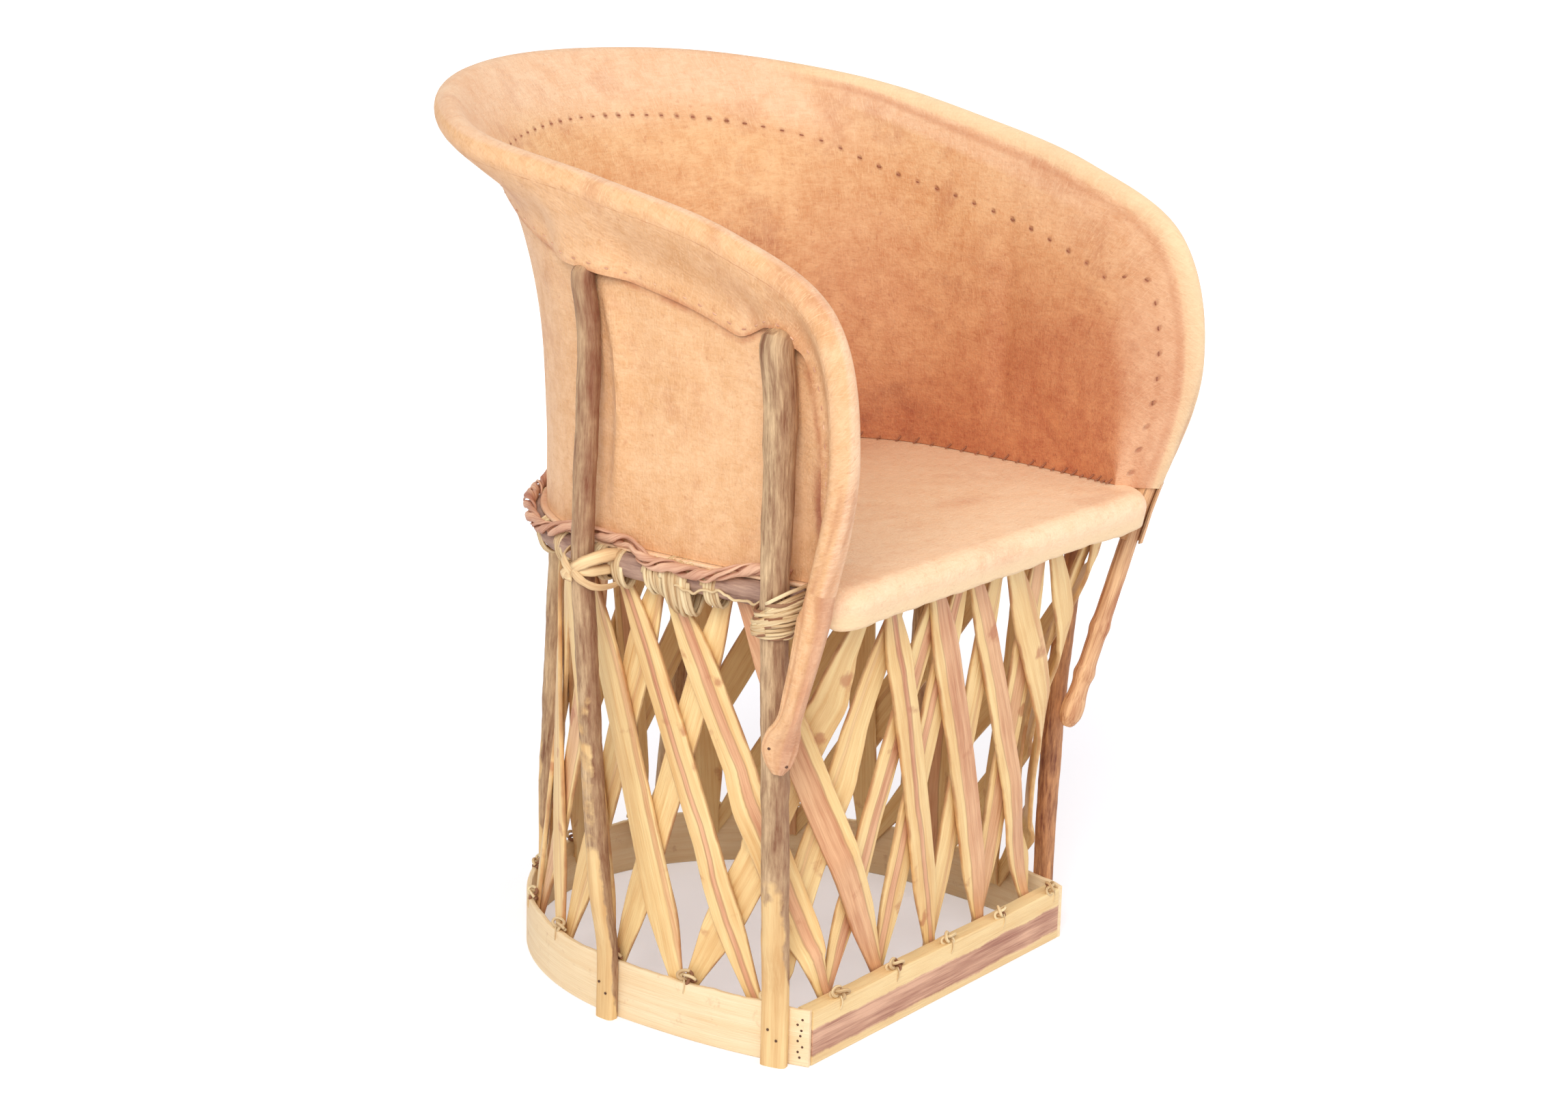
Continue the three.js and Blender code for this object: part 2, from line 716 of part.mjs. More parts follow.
const post_sides = 8;
const flat_roundness = 0.55;
const tongue_steps = 3;
const post_station_shares = [0.5, 0.67, 0.84, 1];
for (const post of posts) {
  const rings = [];
  const low = (height, a, b, roundness) => {
    const below = lowerPost(post, height);
    const spot = baseOutline.at(post.foot);
    const out = new Vector3(spot.out.x, spot.out.y, 0);
    const side = new Vector3(-spot.out.y, spot.out.x, 0);
    rings.push(ring(below, out, side, a, b, post_sides, roundness));
  };
  low(0, post_foot_thickness / 2, post.radius, flat_roundness);
  low(post_foot_rise, post_foot_thickness / 2, post.radius, flat_roundness);
  low(post_foot_rise + post_taper, post.radius, post.radius, 1);
  for (const share of post_station_shares) {
    low(seat_hoop_height * share, post.radius, post.radius, 1);
  }
  const top = postTops[posts.indexOf(post)];
  const high = (run, outwards, a, b, roundness) => {
    const spot = onLeather(top.edge.clone().addScaledVector(top.down, run), outwards);
    const side = spot.out.clone().cross(top.down).normalize();
    rings.push(ring(spot.place, spot.out, side, a, b, post_sides, roundness));
  };
  high(post_taper / 2, back_skin / 2 + clearance + post.radius, post.radius, post.radius, 1);
  const tongue = (hemWidth(top.q) - post_tongue_reach) / top.fall;
  for (let i = 0; i <= tongue_steps; i += 1) {
    high(
      (-tongue * i) / tongue_steps,
      back_skin / 2 + post_tongue_slack + post_tongue_thickness / 2,
      post_tongue_thickness / 2, post_tongue_width / 2, flat_roundness,
    );
  }
  add(post.name, loft(rings), bark);
}

// Seat leather, stretched over the hoop, with a lip folded down over its front

const seat_ring_shares = [0.4, 0.76, 0.94, 1];
const lip_turn = 1.75;
const lip_turns = 5;
const lip_edge_share = 0.281;
const lip_corner_share = 0.313;
{
  const level = seat_top - seat_skin / 2;
  const centre = new Vector3(0, seat_widest_place, level - seat_sag);
  const grid = Array.from({ length: seat_ring_shares.length + lip_turns + 1 }, () => []);
  const wrapRadius = seat_hoop_radius + seat_slack + seat_skin / 2;
  for (const share of hoopShares.slice(1)) {
    const edge = hoopOutline.point(share, 0, level);
    const spot = hoopOutline.at(share);
    const out = new Vector3(spot.out.x, spot.out.y, 0);
    seat_ring_shares.forEach((part, i) => {
      const place = centre.clone().lerp(edge, part);
      place.z = level - seat_sag * (1 - part ** 2);
      grid[i].push(place);
    });
    const front = 1 - THREE.MathUtils.smoothstep(Math.abs(share), lip_edge_share, lip_corner_share);
    const sideTurn = seat_side_drop / wrapRadius;
    const turn = sideTurn + (lip_turn - sideTurn) * front;
    for (let i = 1; i <= lip_turns; i += 1) {
      const angle = turn * (i / lip_turns);
      grid[seat_ring_shares.length - 1 + i].push(edge.clone()
        .addScaledVector(out, wrapRadius * Math.sin(angle))
        .add(new Vector3(0, 0, wrapRadius * (Math.cos(angle) - 1))));
    }
    const fall = seat_lip_drop * front + seat_side_drop * (1 - front);
    grid[seat_ring_shares.length + lip_turns].push(
      grid[seat_ring_shares.length + lip_turns - 1].at(-1).clone()
        .addScaledVector(out, fall * Math.cos(turn))
        .add(new Vector3(0, 0, -fall * Math.sin(turn))),
    );
  }
  add('seat_leather', skin(grid, seat_skin, true, centre), seatLeather);
}

// Laced cord round the foot of the back leather, from one front post to the other

const lace_steps = 90;
const lace_sides = 6;
const lace_turn = 0.9;            // how far it slips down over the hoop between two posts
const lace_post_share = 0.03;     // it lies behind each post for this share of the hoop
const lace_slip_share = 0.06;
{
  const seam = new Vector2(
    -back_seam_inset + back_skin / 2 + clearance + lace_radius,
    seat_top - seat_hoop_height + clearance + lace_radius,
  );
  const seamTurn = Math.atan2(seam.x, seam.y);
  const near = seat_hoop_radius + clearance + lace_radius;
  const from = posts[0].seat;
  const to = posts[3].seat;
  const points = [];
  for (let i = 0; i <= lace_steps; i += 1) {
    const share = from + (to - 2 - from) * (i / lace_steps);
    const away = Math.min(...posts.map(({ seat }) => Math.abs(turned(share - seat))));
    const slip = THREE.MathUtils.smoothstep(away, lace_post_share, lace_post_share + lace_slip_share);
    const turn = seamTurn + (lace_turn - seamTurn) * slip;
    const reach = seam.length() + (near - seam.length()) * slip ** 2;
    const height = seat_hoop_height + reach * Math.cos(turn);
    points.push(hoopOutline.point(share, reach * Math.sin(turn), height));
  }
  const curve = new THREE.CatmullRomCurve3(points, false, 'centripetal');
  curve.arcLengthDivisions = 4 * lace_steps;
  add('seat_lace', rod(curve, lace_radius, lace_sides, lace_steps), laceLeather);
}

// Plant fibre wound round each front post, just under the seat hoop

const lashing_loops = 4;
const loop_steps = 24;
const fibre_sides = 6;
const binding_top = seat_hoop_height - seat_hoop_radius - binding_drop;

// The least gap between one turn and the next, measured on points of the middle line.
function leastGap(points, radius) {
  let least = Infinity;
  for (let i = 0; i < points.length; i += 1) {
    for (let j = i + loop_steps / 2; j < points.length; j += 1) {
      least = Math.min(least, points[i].distanceTo(points[j]));
    }
  }
  return least - 2 * radius;
}

// A point beside a post, at a height and a direction seen from above.
function besidePost(post, height, reach, turn) {
  const away = new Vector3(Math.cos(turn), Math.sin(turn), 0);
  return lowerPost(post, height).addScaledVector(away, post.radius + 3 * clearance + reach);
}

for (const [name, post] of [['front_lashing_near', posts[0]], ['front_lashing_far', posts[3]]]) {
  const points = [];
  const steps = lashing_loops * loop_steps;
  for (let i = 0; i <= steps; i += 1) {
    const height = binding_top - fibre_radius - (fibre_spacing * i) / loop_steps;
    points.push(besidePost(post, height, fibre_radius, (2 * Math.PI * i) / loop_steps));
  }
  console.log(`${name}: least gap to itself ${leastGap(points, fibre_radius).toFixed(2)} mm`);
  const curve = new THREE.CatmullRomCurve3(points);
  curve.arcLengthDivisions = 4 * steps;
  add(name, rod(curve, fibre_radius, fibre_sides, steps), plantFibre);
}

// Flat bark strap round each side and rear post, just under the seat hoop

const strap_columns = 20;
for (const [name, post] of [
  ['side_strap_near', posts[1]], ['rear_strap_near', posts[2]],
  ['side_strap_far', posts[4]], ['rear_strap_far', posts[5]],
]) {
  const grid = [binding_top - strap_width, binding_top].map((height) => {
    const row = [];
    for (let j = 0; j < strap_columns; j += 1) {
      row.push(besidePost(post, height, strap_thickness / 2, (2 * Math.PI * j) / strap_columns));
    }
    return row;
  });
  add(name, skin(grid, strap_thickness, true), barkStrap);
}

// Slats. Each foot place carries an outer and an inner slat that part ways as they rise. The feet
// are evenly spaced round the base; the tops are shares of the way round the seat hoop.

const first_foot_share = 0.02;
const outer_top_shares = [
  -0.18, -0.1, -0.029, 0.042, 0.127, 0.22, 0.388, 0.518, 0.648, 0.779,
  -1.091, -0.961, -0.83, -0.7, -0.643, -0.574, -0.51, -0.41,
];
const inner_top_shares = [
  0.042, 0.127, 0.247, 0.4, 0.53, 0.66, 0.79, 0.91, 1.04, 1.2,
  -0.7, -0.6, -0.51, -0.42, -0.19, -0.133, -0.065, -0.025,
];
const lattice_lean_share = 0.18;
const foot_clear_share = 1.3;

const stack = (slat_thickness + clearance) / 2;
// Where the barrel widens upwards, the feet stand further in, so that they clear the top of the base.
const foot_rise_share = foot_clear_share * slat_foot_depth / (seat_hoop_height - strip_height);
const corner_place_share = (bend_start + bend_end) / 2;
const corner_spread_share = 0.1;

// A place on the barrel that the slats lie on, between the inside of the base and of the hoop.
function barrelPoint(share, t) {
  const low = strip_height - slat_foot_depth;
  const high = seat_hoop_height + slat_top_rise;
  const inset = slat_seat_gap + slat_thickness + clearance / 2;
  const seat = (s) => hoopOutline.point(s, -seat_hoop_radius - inset, high);
  const base = (s) => {
    const foot = baseInside.point(s, -inset, low);
    const { out } = baseInside.at(s);
    const reach = seat(s).sub(foot);
    const spread = Math.max(0, reach.x * out.x + reach.y * out.y) * foot_rise_share;
    return baseInside.point(s, -inset - spread, low);
  };
  const lean = lattice_lean_share;
  const one = base(share - lean * t).lerp(seat(share + lean * (1 - t)), t);
  const other = base(share + lean * t).lerp(seat(share - lean * (1 - t)), t);
  return one.lerp(other, 1 / 2);
}

const slat_station_shares = [0, 0.07, 0.14, 0.22, 0.31, 0.4, 0.5, 0.6, 0.69, 0.78, 0.86, 0.93, 1];
const slat_widen_share = 0.22;
const slat_wobble_share = 0.12;
const slat_wobble_turn = 2.4;
const slat_step_share = 0.01;
function slat(from, to, layer, number) {
  const path = (t) => barrelPoint(from + (to - from) * t, t);
  const step = slat_step_share;
  const rings = slat_station_shares.map((t) => {
    const share = from + (to - from) * t;
    const before = barrelPoint(share - step, t);
    const after = barrelPoint(share + step, t);
    const along = path(Math.min(t + step, 1)).sub(path(Math.max(t - step, 0))).normalize();
    const across = after.sub(before);
    const out = across.clone().cross(along).normalize();
    const side = along.clone().cross(out).normalize();
    const cornering = Math.exp(-(((Math.abs(turned(share)) - corner_place_share)
      / corner_spread_share) ** 2));
    const opening = (slat_layer_gap - clearance + slat_corner_gap * cornering) / 2
      * Math.sin(Math.PI * t);
    const middle = path(t).addScaledVector(out, layer * (stack + opening));
    const widen = THREE.MathUtils.smoothstep(Math.min(t, 1 - t), 0, slat_widen_share);
    const full = slat_width * (1 + slat_wobble_share * Math.sin(number * slat_wobble_turn));
    const half = (slat_tip_width + (full - slat_tip_width) * widen) / 2;
    const thick = slat_thickness / 2;
    return [[1, 1], [-1, 1], [-1, -1], [1, -1]].map(([a, b]) => middle.clone()
      .addScaledVector(side, a * half).addScaledVector(out, b * thick));
  });
  return loft(rings);
}

for (let i = 0; i < slat_count; i += 1) {
  const number = i < slat_count / 2 ? i : i - slat_count;
  const foot = first_foot_share + (2 * number) / slat_count;
  const near = (share) => share + 2 * Math.round((foot - share) / 2);
  const label = String(i + 1).padStart(2, '0');
  const outer = slat(foot, near(outer_top_shares[i]), 1, i);
  const inner = slat(foot, near(inner_top_shares[i]), -1, i + slat_count);
  add(`outer_slat_${label}`, outer, i % 3 === 1 ? cedarRed : cedarPale);
  add(`inner_slat_${label}`, inner, i % 3 === 2 ? cedarRed : cedarPale);
}

// The origin is on the floor, under the middle of the chair.
const bounds = new THREE.Box3().setFromObject(chair);
const middle = bounds.getCenter(new Vector3());
chair.position.set(-middle.x, -middle.y, -bounds.min.z);

export default chair;
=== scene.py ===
import math

import bpy
import numpy as np
from mathutils import Matrix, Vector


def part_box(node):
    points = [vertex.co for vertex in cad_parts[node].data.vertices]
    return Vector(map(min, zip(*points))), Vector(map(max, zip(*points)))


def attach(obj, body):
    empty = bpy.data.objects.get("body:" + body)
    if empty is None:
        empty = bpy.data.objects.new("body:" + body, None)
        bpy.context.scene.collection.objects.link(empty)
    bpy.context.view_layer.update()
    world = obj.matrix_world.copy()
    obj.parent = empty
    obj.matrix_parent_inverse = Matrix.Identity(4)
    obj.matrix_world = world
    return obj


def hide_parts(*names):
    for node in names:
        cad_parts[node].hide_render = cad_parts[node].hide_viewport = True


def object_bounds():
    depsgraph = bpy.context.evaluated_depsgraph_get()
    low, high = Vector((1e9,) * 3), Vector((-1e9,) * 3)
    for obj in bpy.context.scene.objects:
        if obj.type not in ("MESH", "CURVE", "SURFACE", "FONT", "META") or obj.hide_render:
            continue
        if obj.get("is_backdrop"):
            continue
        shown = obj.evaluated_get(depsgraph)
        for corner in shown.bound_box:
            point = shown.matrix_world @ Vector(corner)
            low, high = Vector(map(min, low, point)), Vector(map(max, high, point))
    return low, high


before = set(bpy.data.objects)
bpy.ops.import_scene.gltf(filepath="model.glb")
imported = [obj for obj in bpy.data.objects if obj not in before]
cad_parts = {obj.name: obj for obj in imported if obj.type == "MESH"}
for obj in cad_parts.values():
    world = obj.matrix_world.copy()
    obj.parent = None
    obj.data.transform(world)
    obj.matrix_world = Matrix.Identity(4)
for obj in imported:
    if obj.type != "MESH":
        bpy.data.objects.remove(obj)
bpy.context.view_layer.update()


# Base strip
# A thin slip of pale wood, steamed and bent round the sides and the back of the foot. Its two ends
# come forward over the ends of the front board and are nailed there.

board_face = 0.166                       # from the chair's middle to the face of the front board
middle_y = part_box("front_board")[0].y + board_face


def barrel_outline(front_half, half_width, front, widest, back, corner=0.0):
    """Half of a barrel's outline seen from above, front middle to back middle. A straight front, a
    quarter circle of radius corner, a side with x = front_half + bow * (1 - (1 - t) ** 2.3), and a
    quarter of an ellipse. Gives the points, the distance walked to each, and the way out at each."""
    turn = np.linspace(0, np.pi / 2, 13 if corner else 1)
    t = np.linspace(0, 1, 25)[1:]
    round_back = np.linspace(0, np.pi / 2, 57)[1:]
    start = corner - front
    points = np.concatenate([
        [[0, -front]],
        np.stack([front_half - corner * (1 - np.sin(turn) * (corner > 0) - (corner == 0)),
                  -front + corner * (1 - np.cos(turn))], 1),
        np.stack([front_half + (half_width - front_half) * (1 - (1 - t) ** 2.3),
                  start + (widest - start) * t], 1),
        np.stack([half_width * np.cos(round_back), widest + back * np.sin(round_back)], 1),
    ])
    steps = np.diff(points, axis=0)
    lengths = np.linalg.norm(steps, axis=1)
    ways = steps / lengths[:, None]
    along = np.concatenate([ways[:1], ways[1:] + ways[:-1], ways[-1:]])
    out = np.stack([along[:, 1], -along[:, 0]], 1)
    out[0], out[-1] = (0, -1), (0, 1)
    out /= np.linalg.norm(out, axis=1, keepdims=True)
    return points, np.concatenate([[0], np.cumsum(lengths)]), out


def walk(outline, share):
    """Places and outward ways at shares of an outline: 0 at the front, 1 at the back, minus on -X."""
    points, lengths, outs = outline
    share = np.asarray(share, float)
    share = share - 2 * np.round(share / 2)
    side = np.where(share < 0, -1.0, 1.0)
    reach = np.abs(share) * lengths[-1]
    place = np.stack([side * np.interp(reach, lengths, points[:, 0]),
                      np.interp(reach, lengths, points[:, 1]) + middle_y], -1)
    out = np.stack([side * np.interp(reach, lengths, outs[:, 0]),
                    np.interp(reach, lengths, outs[:, 1])], -1)
    return place, out / np.linalg.norm(out, axis=-1, keepdims=True)


def place_on(outline, share, outwards, height):
    """The places at shares of an outline, moved outwards by a distance, at a height."""
    place, out = walk(outline, share)
    place = place + out * np.asarray(outwards)[..., None]
    return np.concatenate([place, np.broadcast_to(height, place.shape[:-1])[..., None]], -1)


def stance(outline, share):
    """A place on an outline, the level way out of the chair there and the level way along."""
    place, out = walk(outline, share)
    return place, np.array([*out, 0]), np.array([-out[1], out[0], 0])


def unit(v):
    """Each vector divided by its length."""
    return v / np.maximum(np.linalg.norm(v, axis=-1, keepdims=True), 1e-12)


def walked(line):
    """The distance walked to each point of a line."""
    return np.concatenate([[0], np.cumsum(np.linalg.norm(np.diff(line, axis=0), axis=1))])


def read_line(at, run, line):
    """The places on a line where its run is at."""
    return np.stack([np.interp(at, run, line[:, k]) for k in range(3)], -1)


def waver(x, seed, waves=5):
    """An uneven line about -1 to 1: a sum of sines of x, each finer and weaker than the last."""
    draw = np.random.default_rng(seed)
    total = 0
    for k in range(waves):
        total = total + np.sin(x * (1.7 ** k) * draw.uniform(0.8, 1.25)
                               + draw.uniform(0, 2 * np.pi)) * 0.75 ** k
    return total / 2


def rounded_bar(a, b, edge):
    """Sections 2a by 2b with their edges rounded: four quarter circles of radius edge."""
    steps = 4
    a, b = np.atleast_1d(a)[:, None], np.atleast_1d(b)[:, None]
    turn = (np.linspace(0, np.pi / 2, steps)[None] + np.arange(4)[:, None] * np.pi / 2).ravel()
    sx = np.repeat([1, -1, -1, 1], steps)
    sy = np.repeat([1, 1, -1, -1], steps)
    return np.stack(np.broadcast_arrays(sx * (a - edge) + edge * np.cos(turn),
                                        sy * (b - edge) + edge * np.sin(turn)), -1)


def ring_quads(rows, columns):
    """Faces of a closed tube of rows of columns points, with a cap at each end."""
    i, j = np.meshgrid(np.arange(rows - 1), np.arange(columns), indexing="ij")
    k = (j + 1) % columns
    quads = np.stack([i * columns + j, i * columns + k,
                      (i + 1) * columns + k, (i + 1) * columns + j], -1).reshape(-1, 4)
    low = list(range(columns))[::-1]
    high = list(range((rows - 1) * columns, rows * columns))
    return quads.tolist() + [low, high]


def turned_out(points, faces):
    """The faces, all turned round if they enclose less than no volume."""
    quads = np.array([f for f in faces if len(f) == 4])
    a, b, c, d = (points[quads[:, k]] - points.mean(0) for k in range(4))
    volume = np.sum(a * np.cross(b, c)) + np.sum(a * np.cross(c, d))
    return faces if volume > 0 else [f[::-1] for f in faces]


def make_piece(name, points, faces, finish, slot, stands_for=(), sharp=None, **marks):
    """A piece of the chair from points and faces. Marks are values or vectors at its points."""
    mesh = bpy.data.meshes.new(name)
    mesh.from_pydata(points.tolist(), [], faces)
    mesh.polygons.foreach_set("use_smooth", np.ones(len(mesh.polygons), bool))
    if sharp:
        mesh.set_sharp_from_angle(angle=math.radians(sharp))
    for mark, values in marks.items():
        values = np.asarray(values, np.float32)
        if values.ndim > 1:
            mesh.attributes.new(mark, "FLOAT_VECTOR", "POINT").data.foreach_set(
                "vector", values.ravel())
        else:
            mesh.attributes.new(mark, "FLOAT", "POINT").data.foreach_set("value", values)
    mesh.materials.append(finish)
    mesh.update()
    piece = bpy.data.objects.new(name, mesh)
    bpy.context.scene.collection.objects.link(piece)
    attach(piece, "root")
    if stands_for:
        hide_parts(*stands_for)
    return piece


def bar_piece(name, middle, sideways, upwards, section, finish, slot, stands_for=(), seed=0, **marks):
    """A closed bar along a path: middle + x * sideways + y * upwards for each point (x, y) of its
    section. Its grain mark is the bar laid straight: the distance along it, across it and through
    it, so that a pattern follows the wood."""
    points = (middle[:, None] + section[..., :1] * sideways[:, None]
              + section[..., 1:] * upwards[:, None])
    rows, columns = points.shape[:2]
    along = walked(middle) + 1.37 * seed
    grain = np.concatenate([np.broadcast_to(along[:, None, None], (rows, columns, 1)), section], -1)
    points = points.reshape(-1, 3)
    marks = {k: np.broadcast_to(v, (rows, columns) + np.shape(v)[2:]).reshape(
        (-1,) + np.shape(v)[2:]) for k, v in marks.items()}
    return make_piece(name, points, turned_out(points, ring_quads(rows, columns)), finish, slot,
                      stands_for, 40, grain=grain.reshape(-1, 3), **marks)


def new_finish(name):
    """An empty material with its shader, and its node tree."""
    finish = bpy.data.materials.new(name)
    finish.use_nodes = True
    tree = finish.node_tree
    return finish, tree, tree.nodes["Principled BSDF"]


def add_node(tree, kind, **settings):
    """A node of a kind. A setting named after an input sets it, or links it if it is a socket."""
    node = tree.nodes.new(kind)
    for key, value in settings.items():
        if hasattr(node, key) and not key[0].isupper():
            setattr(node, key, value)
            continue
        socket = node.inputs[int(key[1:])] if key[0] == "i" and key[1:].isdigit() else node.inputs[
            key.replace("_", " ")]
        if isinstance(value, bpy.types.NodeSocket):
            tree.links.new(value, socket)
        else:
            socket.default_value = value
    return node


def srgb(r, g, b):
    """A colour as it looks on screen, 0 to 255, in the linear numbers that a shader takes."""
    c = np.array([r, g, b]) / 255
    return (*np.where(c <= 0.04045, c / 12.92, ((c + 0.055) / 1.055) ** 2.4).tolist(), 1)


def new_group(name, inputs, outputs):
    """A shared effect: a shader node group with named inputs and outputs."""
    tree = bpy.data.node_groups.new(name, "ShaderNodeTree")
    for side, sockets in (("INPUT", inputs), ("OUTPUT", outputs)):
        for label, kind, value in sockets:
            socket = tree.interface.new_socket(label, in_out=side, socket_type="NodeSocket" + kind)
            if value is not None:
                socket.default_value = value
    return tree, tree.nodes.new("NodeGroupInput").outputs, tree.nodes.new("NodeGroupOutput").inputs


def ramp(tree, value, stops):
    """A value turned into a colour by stops of (place, colour)."""
    node = add_node(tree, "ShaderNodeValToRGB", Fac=value)
    ends = node.color_ramp.elements
    for k, (place, colour) in enumerate(stops):
        end = ends[k] if k < 2 else ends.new(place)
        end.position, end.color = place, colour
    return node.outputs["Color"]


def mixed(tree, share, a, b, way="MIX"):
    """Two colours mixed by a share."""
    node = add_node(tree, "ShaderNodeMix", data_type="RGBA", blend_type=way)
    for socket, value in ((node.inputs[0], share), (node.inputs[6], a), (node.inputs[7], b)):
        if isinstance(value, bpy.types.NodeSocket):
            tree.links.new(value, socket)
        else:
            socket.default_value = value
    return node.outputs[2]


def sums(tree, way, a, b=None, c=None):
    """One step of arithmetic."""
    node = add_node(tree, "ShaderNodeMath", operation=way)
    for socket, value in zip(node.inputs, (a, b, c)):
        if isinstance(value, bpy.types.NodeSocket):
            tree.links.new(value, socket)
        elif value is not None:
            socket.default_value = value
    return node.outputs[0]


def noise(tree, at, scale, detail=2.0, roughness=0.5, distortion=0.0):
    """Cloudy noise at a scale."""
    return add_node(tree, "ShaderNodeTexNoise", Vector=at, Scale=scale, Detail=detail,
                    Roughness=roughness, Distortion=distortion).outputs[0]


def slope(tree, value, low, high, most=1.0, least=0.0, way="LINEAR"):
    """A value turned into a share: least at low and most at high, and straight between them."""
    return add_node(tree, "ShaderNodeMapRange", interpolation_type=way, Value=value, From_Min=low,
                    From_Max=high, To_Min=least, To_Max=most).outputs[0]


def fade(tree, value, low, high, most=1.0, least=0.0):
    """The same with soft ends."""
    return slope(tree, value, low, high, most, least, "SMOOTHSTEP")


def mark_of(tree, name, kind="Fac"):
    """A mark that the piece carries at its points."""
    return add_node(tree, "ShaderNodeAttribute", attribute_name=name).outputs[kind]


def object_place(tree):
    """The place on the piece, in metres from the chair's middle on the floor."""
    return add_node(tree, "ShaderNodeTexCoord").outputs["Object"]


def stretched(tree, at, by):
    """A place times three numbers: a small one draws the pattern out along that way."""
    return add_node(tree, "ShaderNodeVectorMath", operation="MULTIPLY", i0=at, i1=by).outputs[0]


def parts_of(tree, vector):
    """The three numbers of a vector."""
    return add_node(tree, "ShaderNodeSeparateXYZ", Vector=vector).outputs


def grouped(tree, group, **settings):
    """A shared effect placed in a material."""
    return add_node(tree, "ShaderNodeGroup", node_tree=group, **settings)


def coated(tree, shader, colour, roughness, height, distance):
    """A material's colour, its roughness, and a height turned into the small relief of its surface."""
    tree.links.new(colour, shader.inputs["Base Color"])
    if isinstance(roughness, bpy.types.NodeSocket):
        tree.links.new(roughness, shader.inputs["Roughness"])
    else:
        shader.inputs["Roughness"].default_value = roughness
    bump = add_node(tree, "ShaderNodeBump", Height=height, Distance=distance, Strength=1.0)
    tree.links.new(bump.outputs[0], shader.inputs["Normal"])


# The wood's grain: long fine lines with slower bands under them, and now and then a darker streak.
grain_tree, into, out_of = new_group(
    "Wood grain",
    [("Vector", "Vector", None), ("Light", "Color", srgb(236, 202, 150)),
     ("Dark", "Color", srgb(205, 155, 100)), ("Contrast", "Float", 0.5)],
    [("Color", "Color", None), ("Height", "Float", None)])
stretch = stretched(grain_tree, into["Vector"], (0.035, 1, 1))
fine = noise(grain_tree, stretch, 900.0, 4.0)
slow = noise(grain_tree, stretch, 150.0, detail=3.0, distortion=0.4)
patch = noise(grain_tree, into["Vector"], 16.0)
depth = sums(grain_tree, "MULTIPLY_ADD", slow, 0.75, sums(grain_tree, "MULTIPLY", patch, 0.35))
depth = sums(grain_tree, "MULTIPLY_ADD", fine, 0.45, depth)
depth = sums(grain_tree, "SUBTRACT", depth, 0.775)
share = sums(grain_tree, "MULTIPLY_ADD", depth, sums(grain_tree, "MULTIPLY", into["Contrast"], 4.0),
             0.42)
share = add_node(grain_tree, "ShaderNodeClamp", Value=share).outputs[0]
grain_tree.links.new(mixed(grain_tree, share, into["Light"], into["Dark"]), out_of["Color"])
grain_tree.links.new(sums(grain_tree, "ADD", fine, slow), out_of["Height"])


def wood_grain(tree, light, dark, contrast):
    """The grain group placed in a material, reading the piece's grain mark."""
    mark = mark_of(tree, "grain", "Vector")
    return mark, grouped(tree, grain_tree, Vector=mark, Light=light, Dark=dark, Contrast=contrast)


strip_finish, tree, shader = new_finish("Bent strip wood")
mark, grain = wood_grain(tree, srgb(252, 230, 190), srgb(236, 202, 152), 0.45)
spots = noise(tree, mark, 45.0, 5.0, 0.7)
spots = ramp(tree, spots, [(0.6, (1, 1, 1, 1)), (0.76, srgb(200, 164, 134))])
coated(tree, shader, mixed(tree, 0.6, grain.outputs["Color"], spots, "MULTIPLY"), 0.6,
       grain.outputs["Height"], 0.0006)

# The base's outline from the chair's middle: half its front and half its width, the way to its front,
# to its widest place, where the round back begins, and the depth of that back.
base_front_half, base_half_width, base_front_reach = 0.196, 0.221, 0.166
base_widest, base_back = 0.016, 0.25
strip_thickness, strip_height, strip_rounding, worn = 0.005, 0.053, 0.0012, 0.0008
base = barrel_outline(base_front_half, base_half_width, base_front_reach, base_widest, base_back)
base_length = base[1][-1]
corner_share = base_front_half / base_length
strip_stations = 321
share = np.linspace(corner_share, 2 - corner_share, strip_stations)
line = place_on(base, share, 0.0, 0.0)
line[0, :2] = base_front_half, middle_y - base_front_reach
line[-1, :2] = -base_front_half, middle_y - base_front_reach
way = unit(np.gradient(line, axis=0))
side = np.cross(way, [0, 0, 1.0])
lift = np.broadcast_to([0, 0, 1.0], side.shape)
reach = np.linspace(0, 1, strip_stations)
section = rounded_bar(np.full(strip_stations, strip_thickness / 2), strip_height / 2,
                      strip_rounding)
top = section[..., 1] > 0
section[..., 1] += np.where(top, -worn - worn * waver(reach * 60, 3)[:, None], 0)
middle = line - side * strip_thickness / 2 + lift * strip_height / 2
bar_piece("base_strip_wood", middle, side, lift, section, strip_finish, "strip_wood",
          ["base_strip"])


# Front board
# A straight board let in between the ends of the strip. Its edges are pale sapwood and a red-brown
# band of heartwood runs along its face.

board_finish, tree, shader = new_finish("Board of sapwood and heartwood")
mark, grain = wood_grain(tree, srgb(246, 220, 166), srgb(226, 186, 128), 0.4)
heart = grouped(tree, grain_tree, Vector=mark, Light=srgb(224, 178, 148), Dark=srgb(164, 112, 92),
                Contrast=0.85)
split = parts_of(tree, mark)
edge_wave = noise(tree, stretched(tree, mark, (1, 0, 0)), 14.0, 6.0, 0.7)
height = sums(tree, "MULTIPLY_ADD", edge_wave, 0.014, sums(tree, "SUBTRACT", split["Z"], 0.004))
below = fade(tree, height, 0.0115, 0.0095)
above = fade(tree, height, -0.0155, -0.0125)
band = sums(tree, "MULTIPLY", below, above)
coated(tree, shader, mixed(tree, band, grain.outputs["Color"], heart.outputs["Color"]), 0.6,
       grain.outputs["Height"], 0.0006)

